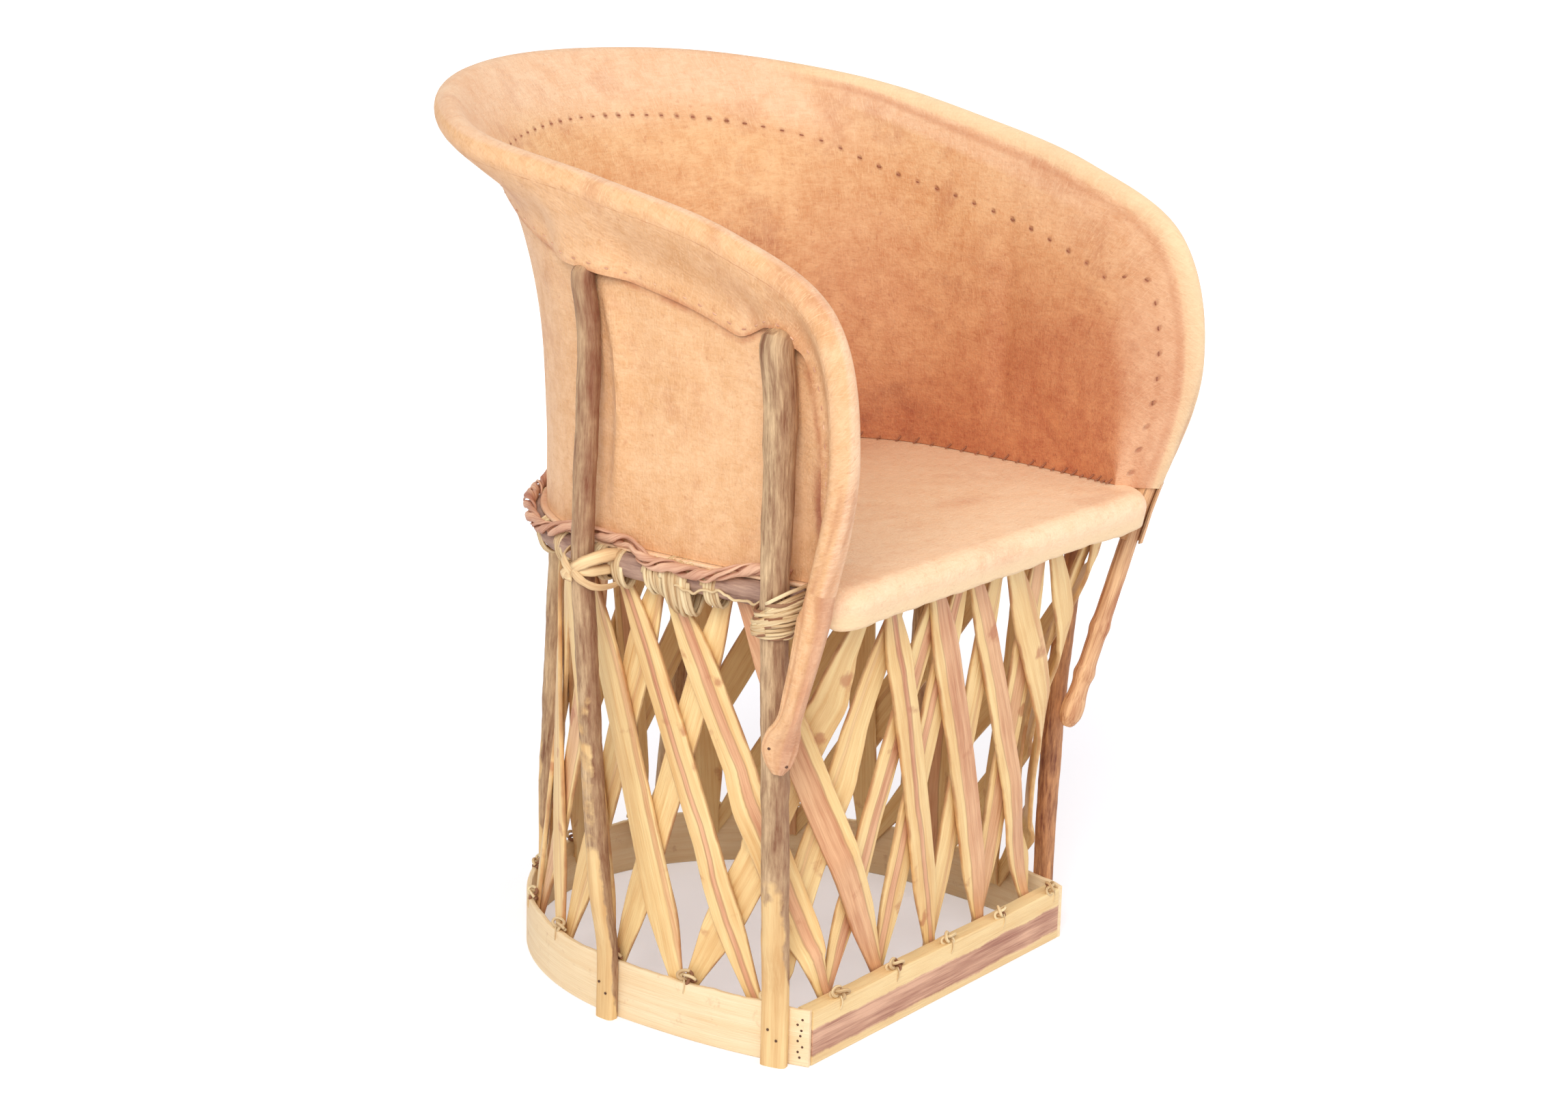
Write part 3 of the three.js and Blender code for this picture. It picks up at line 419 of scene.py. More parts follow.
gap = 0.0003                             # between neighbouring pieces
board_half, board_stations = base_front_half - strip_thickness - gap, 60
board_thickness, board_height, board_rounding, worn = 0.017, 0.05, 0.0014, 0.0006
x = np.linspace(-board_half, board_half, board_stations)
middle = np.stack([x, np.full(board_stations, middle_y - board_face + board_thickness / 2),
                   np.full(board_stations, board_height / 2)], 1)
section = rounded_bar(np.full(board_stations, board_thickness / 2), board_height / 2, board_rounding)
section[..., 1] += np.where(section[..., 1] > 0, -worn - worn * waver(x * 30, 5)[:, None], 0)
bar_piece("front_board_wood", middle, np.broadcast_to([0, 1.0, 0], middle.shape),
          np.broadcast_to([0, 0, 1.0], middle.shape), section, board_finish, "board_wood",
          ["front_board"], seed=1)


# Seat hoop
# One green branch with its bark on, bent into the outline of the seat. Its cut ends meet at the back.

bark_tree, into, out_of = new_group(
    "Bark",
    [("Vector", "Vector", None), ("Light", "Color", srgb(205, 175, 140)),
     ("Dark", "Color", srgb(120, 92, 72))],
    [("Color", "Color", None), ("Height", "Float", None)])
stretch = stretched(bark_tree, into["Vector"], (0.12, 1, 1))
flakes = add_node(bark_tree, "ShaderNodeTexVoronoi", Vector=stretch, Scale=300.0,
                  feature="SMOOTH_F1").outputs["Distance"]
cracks = noise(bark_tree, stretch, 520.0, 6.0, 0.65)
patch = noise(bark_tree, stretched(bark_tree, into["Vector"], (0.3, 1, 1)), 60.0, 5.0, 0.6)
depth = sums(bark_tree, "MULTIPLY_ADD", cracks, 0.75, sums(bark_tree, "MULTIPLY", flakes, -0.35))
depth = sums(bark_tree, "MULTIPLY_ADD", patch, 0.9, depth)
share = slope(bark_tree, depth, 0.42, 0.98)
bark_tree.links.new(mixed(bark_tree, share, into["Dark"], into["Light"]), out_of["Color"])
bark_tree.links.new(sums(bark_tree, "MULTIPLY_ADD", flakes, -0.5, cracks), out_of["Height"])

hoop_finish, tree, shader = new_finish("Purple grey bark")
mark = mark_of(tree, "grain", "Vector")
rind = grouped(tree, bark_tree, Vector=mark, Light=srgb(204, 168, 144), Dark=srgb(132, 98, 86))
coated(tree, shader, rind.outputs["Color"], 0.75, rind.outputs["Height"], 0.001)


def round_bar(radius, sides, seed, rough):
    """Round sections of a branch: the radius wavers along it and a little round it."""
    radius = np.atleast_1d(radius)[:, None]
    station = np.arange(len(radius))[:, None] / 9
    turn = np.linspace(0, 2 * np.pi, sides, endpoint=False)[None]
    oval = np.sin(2 * turn + waver(station, seed + 1))
    uneven = 1 + rough * waver(station, seed) + rough * oval * 0.6 \
        + rough * 0.5 * waver(station * 3 + np.cos(turn) * 2, seed + 2)
    return np.stack([radius * uneven * np.cos(turn), radius * uneven * np.sin(turn)], -1)


# The outline of the seat, measured as that of the base, and the radius of its rounded front corners.
seat_front_half, seat_half_width, seat_front_reach = 0.229, 0.242, 0.208
seat_widest, seat_back, seat_corner = 0.010, 0.215, 0.024
hoop_height, hoop_radius = 0.424, 0.011
hoop = barrel_outline(seat_front_half, seat_half_width, seat_front_reach, seat_widest, seat_back,
                      seat_corner)
hoop_length = hoop[1][-1]
hoop_stations = 420
hoop_gap = gap / hoop_length
share = np.linspace(hoop_gap - 1, 1 - hoop_gap, hoop_stations)
middle = place_on(hoop, share, 0.0, hoop_height)
way = unit(np.gradient(middle, axis=0))
lift = np.broadcast_to([0, 0, 1.0], way.shape)
side = unit(np.cross(way, lift))
bar_piece("seat_hoop_branch", middle, side, lift,
          round_bar(np.full(hoop_stations, hoop_radius * 0.97), 20, 11, 0.035), hoop_finish,
          "hoop_bark", ["seat_hoop"])


# How the posts stand
# Six saplings round the base. Each foot and each seat crossing is a share of its outline, and the
# front, the near side and the rear posts are cut from sticks of different thickness.

foot_thickness, foot_rise = 0.012, 0.066
posts = {
    "front_post_near": dict(side=-1, foot=-0.3, seat=-0.334, top=0.24, radius=0.0125, bow=1),
    "side_post_near": dict(side=-1, foot=-0.532, seat=-0.577, top=0.482, radius=0.0115, bow=0.7),
    "rear_post_near": dict(side=-1, foot=-0.94, seat=-0.94, top=0.93, radius=0.012, bow=1),
    "front_post_far": dict(side=1, foot=0.307, seat=0.372, top=0.27, radius=0.0105, bow=2.2),
    "side_post_far": dict(side=1, foot=0.53, seat=0.585, top=0.52, radius=0.012, bow=1),
    "rear_post_far": dict(side=1, foot=0.86, seat=0.86, top=0.85, radius=0.012, bow=1),
}


def lower_post(post, height):
    """The middle line of a post below the seat: foot + (seat - foot) * rise ** bow."""
    height = np.asarray(height, float)
    foot = place_on(base, post["foot"], gap + foot_thickness / 2, 0.0)
    seat = place_on(hoop, post["seat"], hoop_radius + gap + post["radius"], 0.0)
    rise = np.maximum(0, (height - foot_rise) / (hoop_height - foot_rise)) ** post["bow"]
    line = foot + (seat - foot) * rise[..., None]
    line[..., 2] = height
    return line


# Rim pole
# One long peeled switch, bent round the top of the back and down in front of both arms. The near end
# is whittled to a tip and hidden in leather, the far end is bare and ends in a knot by the post.

leather_thickness, rim_radius, sleeve_slack = 0.0025, 0.009, 0.0008
seat_skin, seat_slack = 0.0034, 0.0009
seat_top = hoop_height + hoop_radius + seat_slack + seat_skin
rim_height, knob_radius = 0.794, 0.012

# How far the rim stands out past the seat's straight front half, and how far it reaches forwards and
# backwards from the chair's middle.
arm_spread, arm_reach, back_reach = 0.0435, 0.236, 0.325

# The eight places that the pole bends through on one side, from the seat to the back, as shares of
# those lengths and of the rim's height over the seat.
arm_spread_shares = np.array([0.586, 0.655, 0.637, 0.749, 1, 0.931])
back_width_shares = np.array([0.62, 0])
forward_shares = np.array([0.87, 1, 0.886, 0.48, 0, 0, 0, 0])
backward_shares = np.array([0, 0, 0, 0, 0.052, 0.475, 0.837, 1])
height_shares = np.array([-0.085, 0.335, 0.628, 0.766, 0.851, 0.918, 0.98, 1])


def rim_knots(side):
    """Those eight places on one side, -1 near and 1 far, which differ a little at the front."""
    half = np.concatenate([seat_front_half + arm_spread_shares * arm_spread,
                           back_width_shares * (seat_front_half + arm_spread)])
    setback = np.where(side < 0, 0.005, np.where(np.arange(8) == 0, 0.016, 0))
    return np.stack([side * half,
                     backward_shares * back_reach - forward_shares * (arm_reach - setback)
                     + middle_y,
                     seat_top + height_shares * (rim_height - seat_top)], 1)


def arm_tip(post, height, reach, turn):
    """The end of an arm pole: beside its post, at a height and a direction seen from above."""
    away = np.array([math.cos(turn), math.sin(turn), 0])
    return lower_post(post, height) + away * (post["radius"] + gap + reach)


def smooth_line(knots, steps):
    """A centripetal spline through knots: cubic pieces whose slopes are weighed by the square roots
    of the distances between them. Gives evenly spaced places and the length."""
    knots = np.concatenate([[2 * knots[0] - knots[1]], knots, [2 * knots[-1] - knots[-2]]])
    t = np.linspace(0, len(knots) - 3, 60 * (len(knots) - 3) + 1)
    i = np.minimum(t.astype(int), len(knots) - 4)
    w = (t - i)[:, None]
    p0, p1, p2, p3 = (knots[i + k] for k in range(4))
    d0, d1, d2 = (np.sqrt(np.linalg.norm(b - a, axis=1, keepdims=True))
                  for a, b in ((p0, p1), (p1, p2), (p2, p3)))
    m1 = ((p1 - p0) / d0 - (p2 - p0) / (d0 + d1) + (p2 - p1) / d1) * d1
    m2 = ((p2 - p1) / d1 - (p3 - p1) / (d1 + d2) + (p3 - p2) / d2) * d1
    line = p1 + m1 * w + (3 * p2 - 3 * p1 - 2 * m1 - m2) * w ** 2 \
        + (2 * p1 - 2 * p2 + m1 + m2) * w ** 3
    run = walked(line)
    return read_line(np.linspace(0, run[-1], steps), run, line), run[-1]


sleeve_radius = rim_radius + sleeve_slack + leather_thickness
near_knots, far_knots = rim_knots(-1), rim_knots(1)
rim_line, rim_length = smooth_line(np.concatenate([
    [arm_tip(posts["front_post_near"], 0.298, sleeve_radius, -2.3)], near_knots,
    far_knots[::-1][1:], [arm_tip(posts["front_post_far"], 0.205, knob_radius, -2.0)]]), 2401)
rim_ways = unit(np.gradient(rim_line, axis=0))
rim_reach = np.linspace(0, 1, len(rim_line))


def on_rim(u):
    """The pole's middle and the way it runs, at shares of its length."""
    return tuple(read_line(u, rim_reach, line) for line in (rim_line, rim_ways))


# Where along the pole the leather begins and ends, and where the middle of the back is.
arm_opening = 0.042                      # from the seat up to where the leather begins
marks_along = np.linspace(0, 1, 601)
spots, _ = on_rim(marks_along)
leather_start = seat_top + arm_opening
rim_start = marks_along[(spots[:, 2] < leather_start) & (spots[:, 0] < 0)].max()
rim_middle = marks_along[spots[:, 0] < 0].max()
rim_end = marks_along[(spots[:, 2] > leather_start) & (spots[:, 0] > 0)].max()


# Back and arm leather
# One hide of pigskin. Its foot is laced to the seat hoop, its top flares out to the rim pole, goes
# over it, and is sewn down outside as a wide hem that narrows on the upright front of each arm.

seam_share = (seat_front_half + seat_corner * (math.pi / 2 - 1)) / hoop_length
foot_inwards = -0.004                    # of the leather's foot from the hoop's middle
fold_radius = rim_radius + sleeve_slack + leather_thickness / 2


def nearness(q):
    """0 at the end of an arm, 1 at the middle of the back."""
    return 1 - np.abs(2 * q - 1)


def rim_share(q):
    """The share of the pole's length over a share q of the leather, near arm 0 to far arm 1."""
    w = nearness(q)
    return np.where(q < 0.5, rim_start + (rim_middle - rim_start) * w,
                    rim_end - (rim_end - rim_middle) * w)


def leather_foot(q):
    """The foot of the leather: it fans out along the hoop as nearness ** 1.5."""
    share = seam_share + (1 - seam_share) * np.maximum(nearness(q), 0) ** 1.5
    return place_on(hoop, np.where(q < 0.5, -share, share), foot_inwards, seat_top + gap)


def rim_frame(q):
    """The pole's middle, the way the leather reaches it, and the way out of the chair."""
    middle, way = on_rim(rim_share(q))
    foot = leather_foot(q)
    rise = (middle - foot) * [3.5, 3.5, 1]
    rise = unit(rise - way * np.sum(rise * way, -1, keepdims=True))
    return middle, way, rise, np.cross(rise, way)


def hide_at(q, v):
    """The leather at a share q round the chair and v up it: foot + (rim - foot) * v ** 3.5 in plan,
    and a steady rise in height."""
    middle, _, _, out = rim_frame(q)
    foot = leather_foot(q)
    top = middle - out * fold_radius
    flare = np.stack([v ** 3.5, v ** 3.5, v], -1)
    return foot + (top - foot) * flare


def hide_out(q, v):
    """The outward way of the leather, square to it."""
    step = 0.002
    across = hide_at(q + step, v) - hide_at(q - step, v)
    up = hide_at(q, np.minimum(v + step, 1)) - hide_at(q, np.maximum(v - step, 0))
    return unit(np.cross(up, across))


# The hide goes on past the ends of the panel, down the pole to the level of the seat.
near_further, far_further = 0.036, 0.047
near_past = near_further / (2 * (rim_middle - rim_start) * rim_length)
far_past = far_further / (2 * (rim_end - rim_middle) * rim_length)
net_columns, net_rows = 125, 37
net_q, net_v = (a.ravel() for a in np.meshgrid(
    np.linspace(-near_past, 1 + far_past, net_columns), np.linspace(0, 1, net_rows) ** 0.5,
    indexing="ij"))
net = hide_at(net_q, net_v)


def nearest_on_hide(target):
    """The shares (q, v) of the place on the hide that is nearest to each target: found on a net,
    then by six steps of least squares."""
    nearest = np.concatenate([np.argmin(np.sum((net[None] - part[:, None]) ** 2, -1), 1)
                              for part in np.array_split(target, len(target) // 400 + 1)])
    a, b = net_q[nearest], net_v[nearest]
    for _ in range(6):
        da = (hide_at(a + 1e-3, b) - hide_at(a - 1e-3, b)) / 2e-3
        db = (hide_at(a, np.minimum(b + 1e-3, 1)) - hide_at(a, np.maximum(b - 1e-3, 0))) / (
            np.minimum(b + 1e-3, 1) - np.maximum(b - 1e-3, 0))[:, None]
        miss = target - hide_at(a, b)
        aa, ab, bb = np.sum(da * da, -1), np.sum(da * db, -1), np.sum(db * db, -1)
        ra, rb = np.sum(da * miss, -1), np.sum(db * miss, -1)
        det = np.maximum(aa * bb - ab * ab, 1e-9)
        a = np.clip(a + np.clip((bb * ra - ab * rb) / det, -0.02, 0.02), -near_past, 1 + far_past)
        b = np.clip(b + np.clip((aa * rb - ab * ra) / det, -0.05, 0.05), 0.02, 1)
    return a, b


def below_rim(q, distance, outwards, ease=None):
    """The place on the leather at a distance below the rim, measured square to the pole, then moved
    outwards. Gives the place, the way out, and the shares (q, v) of that place on the hide."""
    q, distance, outwards = np.broadcast_arrays(q, distance, outwards)
    shape = q.shape
    q, distance, outwards = (np.asarray(a, float).ravel() for a in (q, distance, outwards))
    middle, way, rise, out = rim_frame(q)
    target = middle - out * fold_radius - rise * distance[:, None]
    a, b = nearest_on_hide(target)
    normal = hide_out(a, b)
    if ease is not None:
        ease = np.broadcast_to(ease, shape).ravel()[:, None]
        normal = unit(out * (1 - ease) + normal * ease)
    lift = np.sum((target - hide_at(a, b)) * normal, -1)
    if ease is not None:
        lift = lift * ease[:, 0]
    place = target + normal * (outwards - lift)[:, None]
    return tuple(w.reshape(shape + (-1,)) for w in (place, normal, np.stack([a, b], 1)))


def eased(x, low, high):
    """0 below low, 1 above high, and 3t^2 - 2t^3 between."""
    t = np.clip((x - low) / (high - low), 0, 1)
    return t * t * (3 - 2 * t)


# The hem's width at three places and what its point takes off, how far it stands off over the tops of
# the posts, and the height of the hide.
hem_at_back, hem_at_near_arm, hem_at_far_arm, hem_point = 0.076, 0.044, 0.036, 0.026
hem_over_posts, hide_rise = 0.0103, 0.37


def hem_width(q):
    """Wide round the back and narrow on the arm fronts, with a step at the near front post, and
    pointed where the sleeve takes over."""
    w = nearness(q)
    start = np.where(q < 0.5, 0.25, 0.17)
    narrow = np.where(q < 0.5, hem_at_near_arm, hem_at_far_arm)
    return narrow + (hem_at_back - narrow) * eased(w, start, start + 0.05) \
        - hem_point * (1 - eased(w, -2 * near_past, 0.03)) * (q < 0.5)


tongue_thickness, tongue_width, tongue_reach, taper = 0.007, 0.018, 0.02, 0.05
for post in posts.values():
    q = np.array(post["top"] / 2 if post["side"] < 0 else 1 - post["top"] / 2)
    edge = below_rim(q, hem_width(q), leather_thickness / 2 + gap + post["radius"])[0]
    down = unit(lower_post(post, hoop_height) - edge)
    _, way, rise, _ = rim_frame(q)
    post.update(top_q=q, edge=edge, down=down, slide=np.sum(down * way), fall=-np.sum(down * rise))


def hem_lift(q, distance):
    """How far the hem stands off over the flat tops of the posts."""
    lift = 0
    for post in posts.values():
        slide = (distance - hem_width(post["top_q"])) * post["slide"] / post["fall"]
        away = np.abs((rim_share(q) - rim_share(post["top_q"])) * rim_length - slide)
        lift = np.maximum(lift, 1 - eased(away, 0.012, 0.05))
    return lift * hem_over_posts


# Where the two upright folds of the slack hide are, and how far they and the unevenness stand out.
near_fold_at, far_fold_at = 0.2515, 0.80
near_fold_depth, far_fold_depth, unevenness = 0.0055, 0.004, 0.0011


def side_folds(q, v):
    """How far the slack hide stands out: a soft upright fold beside the near side post, a lower one
    on the far side, and slow unevenness everywhere."""
    height = v * 0.36
    off = q - near_fold_at - 0.07 * (v - 0.45) ** 2
    near = near_fold_depth * np.exp(-np.abs(off / np.where(off > 0, 0.004, 0.011)) ** 1.6) \
        * eased(v, 0.03, 0.25) * (1 - eased(v, 0.62, 0.76))
    far = far_fold_depth * np.exp(-((q - far_fold_at) / 0.012) ** 2) * eased(v, 0.05, 0.3) \
        * (1 - eased(v, 0.6, 0.85))
    uneven = unevenness * waver(q * 23 + 2.1 * np.sin(height * 9), 21, 4) * np.sin(
        np.pi * v ** 0.8)
    return near + far + uneven


def two_sided(grid, thickness):
    """A sheet with two faces from a grid of its middle: each place moved half the thickness along
    the sheet's normal either way, closed round its edges. Gives points, faces, and the row, the
    column and the side of each point."""
    rows, columns = grid.shape[:2]
    normal = unit(np.cross(np.gradient(grid, axis=0), np.gradient(grid, axis=1)))
    outer, inner = grid + normal * thickness / 2, grid - normal * thickness / 2
    up = unit(np.gradient(grid, axis=0))
    top = (grid[-1] + up[-1] * thickness * 0.35)[None]
    low = (grid[0] - up[0] * thickness * 0.35)[None]
    loop = np.concatenate([outer, top, inner[::-1], low])
    row = np.concatenate([np.arange(rows), [rows - 1], np.arange(rows)[::-1], [0]])
    side = np.concatenate([np.zeros(rows), [0.5], np.ones(rows), [0.5]])
    points = loop.transpose(1, 0, 2).reshape(-1, 3)
    faces = ring_quads(columns, 2 * rows + 2)[:-2]
    span = 2 * rows + 2
    for first, flip in ((0, 1), ((columns - 1) * span, -1)):
        i = np.arange(rows - 1)
        quads = np.stack([i, i + 1, 2 * rows - i - 1, 2 * rows - i], -1) + first
        ends = [[rows - 1, rows, rows + 1], [2 * rows, 2 * rows + 1, 0]]
        faces += [f[::flip] for f in quads.tolist()]
        faces += [[k + first for k in f][::flip] for f in ends]
    column = np.repeat(np.arange(columns), span)
    return points, faces, np.tile(row, columns), column, np.tile(side, columns)


hide_columns, hide_rows, fold_rows, hem_rows = 401, 52, 12, 16
q = np.linspace(-near_past, 1 + far_past, hide_columns)
v = np.linspace(0, 1, hide_rows) ** 0.8
qq, vv = np.meshgrid(q, v)
wall = hide_at(qq, vv) + hide_out(qq, vv) * side_folds(qq, vv)[..., None]
middle, way, rise, out = rim_frame(q)
turn = np.linspace(0, np.pi, fold_rows + 1)[1:, None, None]
folds_near = 1 - eased(nearness(q), 0.02, 0.09)
wrinkles = waver(turn[..., 0] * 4.3 + 0.6 * np.sin(q * 90), 43) * folds_near
fold = middle[None] - out[None] * fold_radius * np.cos(turn) + rise[None] * fold_radius \
    * np.sin(turn)
fold += (rise[None] * np.sin(turn) - out[None] * np.cos(turn)) * 0.0006 * wrinkles[..., None]
width = hem_width(q)
part = np.linspace(0, 1, hem_rows + 1)[1:, None]
distance = part * width[None]
hem_height = leather_thickness + gap + hem_lift(q[None] + 0 * part, distance) + np.maximum(
    0, side_folds(q[None] + 0 * part, 1 - distance / hide_rise))
settled = eased(part, 0, 0.8)
outwards = hem_height + (2 * fold_radius - hem_height) * (1 - settled)
hem = below_rim(q + 0 * distance, distance, outwards, eased(part, 0.0, 0.35) + 0 * distance)[0]
hide = np.concatenate([wall, fold, hem])
hem_wrinkles = waver(part * 6.5 + 4.3 * np.pi + 0.6 * np.sin(q * 90), 43) * folds_near
# The depth of each wrinkle's valley, kept as a mark for painted shade.
valleys = np.concatenate([np.zeros(qq.shape), -wrinkles, -hem_wrinkles])
points, faces, row, column, side = two_sided(hide, leather_thickness)
run = np.concatenate([[np.zeros(hide_columns)], np.cumsum(
    np.linalg.norm(np.diff(hide, axis=0), axis=-1), axis=0)])
along = rim_share(q) * rim_length
fold_row = hide_rows + fold_rows // 2
inside = np.where(row < fold_row, side, 1 - side)
below = np.maximum(run[hide_rows - 1] - run, run - run[hide_rows + fold_rows - 1])
below = np.maximum(below, 0)

# The seam that holds the hem, above its edge, as a line on the hide, and the count of stitches along
# it, which lie further apart from the back's middle on to the far arm.
seam_inset, stitches_apart, further_apart = 0.007, 0.0155, 0.0075
seam_q = np.linspace(-near_past, 1 + far_past, 500)
seam_spots, seam_outs, seam_place = below_rim(seam_q, hem_width(seam_q) - seam_inset, 0.0)
seam_sides = unit(np.gradient(seam_spots, axis=0))
seam_run = walked(seam_spots)
pitch = stitches_apart + further_apart * eased(seam_q, 0.5, 0.82)
seam_count = np.concatenate([[0], np.cumsum(np.diff(seam_run) * 2 / (pitch[1:] + pitch[:-1]))])
order = np.argsort(seam_place[:, 0])
seam_v = np.interp(q, seam_place[order, 0], seam_place[order, 1])
seam_at = np.interp(q, seam_place[order, 0], seam_count[order])
wall_seam = (vv - seam_v) * run[hide_rows - 1]
hem_seam = distance - width + seam_inset
off_seam = np.concatenate([wall_seam, np.full((fold_rows, hide_columns), 0.05), hem_seam])
hem_at = seam_count[np.argmin(np.abs(seam_q[None] - q[:, None]), 1)]
stitch = np.stack([np.where(row < hide_rows, seam_at[column], hem_at[column]),
                   off_seam[row, column], below[row, column]], 1)

# The hide beside the near front post, just below the edge of the narrow hem, carries a painted
# red-brown shadow of the post.
stained = (1 - eased(nearness(q), 0.075, 0.13)) * (q < 0.5) * (
    np.arange(len(hide)) < hide_rows)[:, None] * np.exp(-((off_seam + 0.0155) / 0.0095) ** 2)

hide_tree, into, out_of = new_group(
    "Pigskin",
    [("Vector", "Vector", None), ("Place", "Vector", None), ("Light", "Color", srgb(247, 203, 150)),
     ("Mid", "Color", srgb(232, 176, 124)), ("Dark", "Color", srgb(196, 122, 82))],
    [("Color", "Color", None), ("Height", "Float", None), ("Roughness", "Float", None)])
cloud = noise(hide_tree, into["Place"], 8.0, 6.0, 0.66, 0.6)
mottle = noise(hide_tree, into["Place"], 60.0, 7.0, 0.72, 0.4)
strands = noise(hide_tree, stretched(hide_tree, into["Vector"], (0.22, 1, 1)), 300.0, 5.0, 0.7, 1.2)
pores = add_node(hide_tree, "ShaderNodeTexVoronoi", Vector=into["Vector"],
                 Scale=360.0).outputs["Distance"]
share = sums(hide_tree, "MULTIPLY", strands, 0.75)
share = sums(hide_tree, "MULTIPLY_ADD", mottle, 1.0, share)
share = sums(hide_tree, "MULTIPLY_ADD", cloud, 0.9, share)
share = slope(hide_tree, share, 1.1, 1.54)
skin_colour = mixed(hide_tree, share, into["Light"], into["Mid"])
stain = slope(hide_tree, noise(hide_tree, into["Place"], 11.0, 7.0, 0.7), 0.53, 0.7, 0.6)
specks = slope(hide_tree, noise(hide_tree, into["Place"], 170.0, 3.0, 0.6), 0.6, 0.74, 0.4)
stain = sums(hide_tree, "MAXIMUM", stain, specks)
hairs = noise(hide_tree, stretched(hide_tree, into["Vector"], (1, 0.1, 1)), 620.0, distortion=2.0)
hairs = slope(hide_tree, hairs, 0.53, 0.68, 0.75)
skin_colour = mixed(hide_tree, stain, skin_colour, into["Dark"])
hide_tree.links.new(mixed(hide_tree, hairs, skin_colour, into["Light"]), out_of["Color"])
hide_tree.links.new(sums(hide_tree, "MULTIPLY_ADD", pores, 0.4, sums(
    hide_tree, "MULTIPLY_ADD", strands, 0.7, mottle)), out_of["Height"])
hide_tree.links.new(sums(hide_tree, "MULTIPLY_ADD", mottle, 0.25, 0.42), out_of["Roughness"])


def skin_of(tree, mark, place, light, mid, dark):
    """The pigskin group placed in a material, in its three colours."""
    return grouped(tree, hide_tree, Vector=mark, Place=place, Light=srgb(*light), Mid=srgb(*mid),
                   Dark=srgb(*dark))


hide_finish, tree, shader = new_finish("Tanned pigskin")
mark = mark_of(tree, "grain", "Vector")
place = object_place(tree)
outside_skin = skin_of(tree, mark, place, (243, 197, 150), (224, 170, 118), (194, 126, 84))
inside_skin = skin_of(tree, mark, place, (236, 190, 140), (216, 156, 104), (178, 104, 70))
# A darker, redder copy of the pigskin for painted shade low in the hollow.
deep_skin = skin_of(tree, mark, place, (208, 138, 94), (176, 98, 66), (132, 60, 44))
# A lighter copy of the pigskin for the painted highlight near the rim.
rim_skin = skin_of(tree, mark, place, (244, 204, 166), (233, 182, 140), (206, 142, 104))
inner = mark_of(tree, "inside")
stitch_mark = parts_of(tree, mark_of(tree, "stitch", "Vector"))
level = parts_of(tree, place)["Z"]
waves = noise(tree, place, 5.0, 6.0, 0.6)
level = sums(tree, "MULTIPLY_ADD", waves, 0.3, level)
# Inside, the hide is painted darker and redder towards the bottom: painted shade deep in the hollow of
# the back, over the skin's own blotches.
low = fade(tree, level, 0.9, 0.58)
inner_colour = mixed(tree, low, inside_skin.outputs["Color"], deep_skin.outputs["Color"])
# Some 6 to 12 cm down from the rim the inside and the hem are painted lighter: a painted highlight
# where the top catches the light. On the far arm it stays within the hem.
near_rim = fade(tree, sums(tree, "MULTIPLY_ADD", waves, 0.06, stitch_mark["Z"]), 0.125, 0.06)
far_side = fade(tree, parts_of(tree, place)["X"], 0.2, 0.275)
at_hem = fade(tree, sums(tree, "MULTIPLY_ADD", waves, 0.012, stitch_mark["Z"]), 0.045, 0.032)
near_rim = sums(tree, "MULTIPLY", near_rim, sums(tree, "SUBTRACT", 1.0, far_side))
near_rim = sums(tree, "MAXIMUM", near_rim, sums(tree, "MULTIPLY", at_hem, far_side))
inner_colour = mixed(tree, near_rim, inner_colour, rim_skin.outputs["Color"])

# On the far arm the roll over the pole gets a painted cream highlight, and a painted line of shade runs
# where the hide leaves the pole.
from_line = sums(tree, "ABSOLUTE", sums(tree, "SUBTRACT", stitch_mark["Z"], 0.011))
from_line = fade(tree, from_line, 0.006, 0.0)
inner_colour = mixed(tree, sums(tree, "MULTIPLY", sums(tree, "MULTIPLY", from_line, far_side), 0.4),
                     inner_colour, srgb(192, 118, 78))
# The painted cream highlight on the far arm's roll.
roll = fade(tree, sums(tree, "MULTIPLY_ADD", waves, 0.006, stitch_mark["Z"]), 0.0095, 0.0045)
inner_colour = mixed(tree, sums(tree, "MULTIPLY", sums(tree, "MULTIPLY", roll, far_side), 0.6),
                     inner_colour, srgb(252, 228, 180))
colour = mixed(tree, inner, outside_skin.outputs["Color"], inner_colour)

# Round each stitch the skin is drawn in and painted darker: painted shade in the dimple and the hole.
across = sums(tree, "SUBTRACT", add_node(tree, "ShaderNodeMath", operation="FRACT",
                                         i0=stitch_mark["X"]).outputs[0], 0.5)
across = sums(tree, "MULTIPLY", across, mark_of(tree, "pitch"))
off_seam_y = stitch_mark["Y"]
away = sums(tree, "MULTIPLY_ADD", across, across, sums(tree, "MULTIPLY", off_seam_y, off_seam_y))
away = sums(tree, "SQRT", away)
dimple = fade(tree, away, 0.004, 0.001)
dimple = sums(tree, "MULTIPLY", dimple, sums(tree, "MULTIPLY_ADD", inner, 0.5, 0.12))
patchy = slope(tree, noise(tree, place, 23.0), 0.35, 0.6, least=0.35)
dimple = sums(tree, "MULTIPLY", dimple, patchy)

# The hem's edge is stained and rubbed darker, with painted shade along it; just under the edge the wall
# carries a painted shadow of the hem, and the valleys between wrinkles carry painted shade.
edge_stain = fade(tree, off_seam_y, 0.001, 0.0068)
edge_stain = sums(tree, "MULTIPLY", edge_stain, sums(tree, "LESS_THAN", off_seam_y, 0.02))
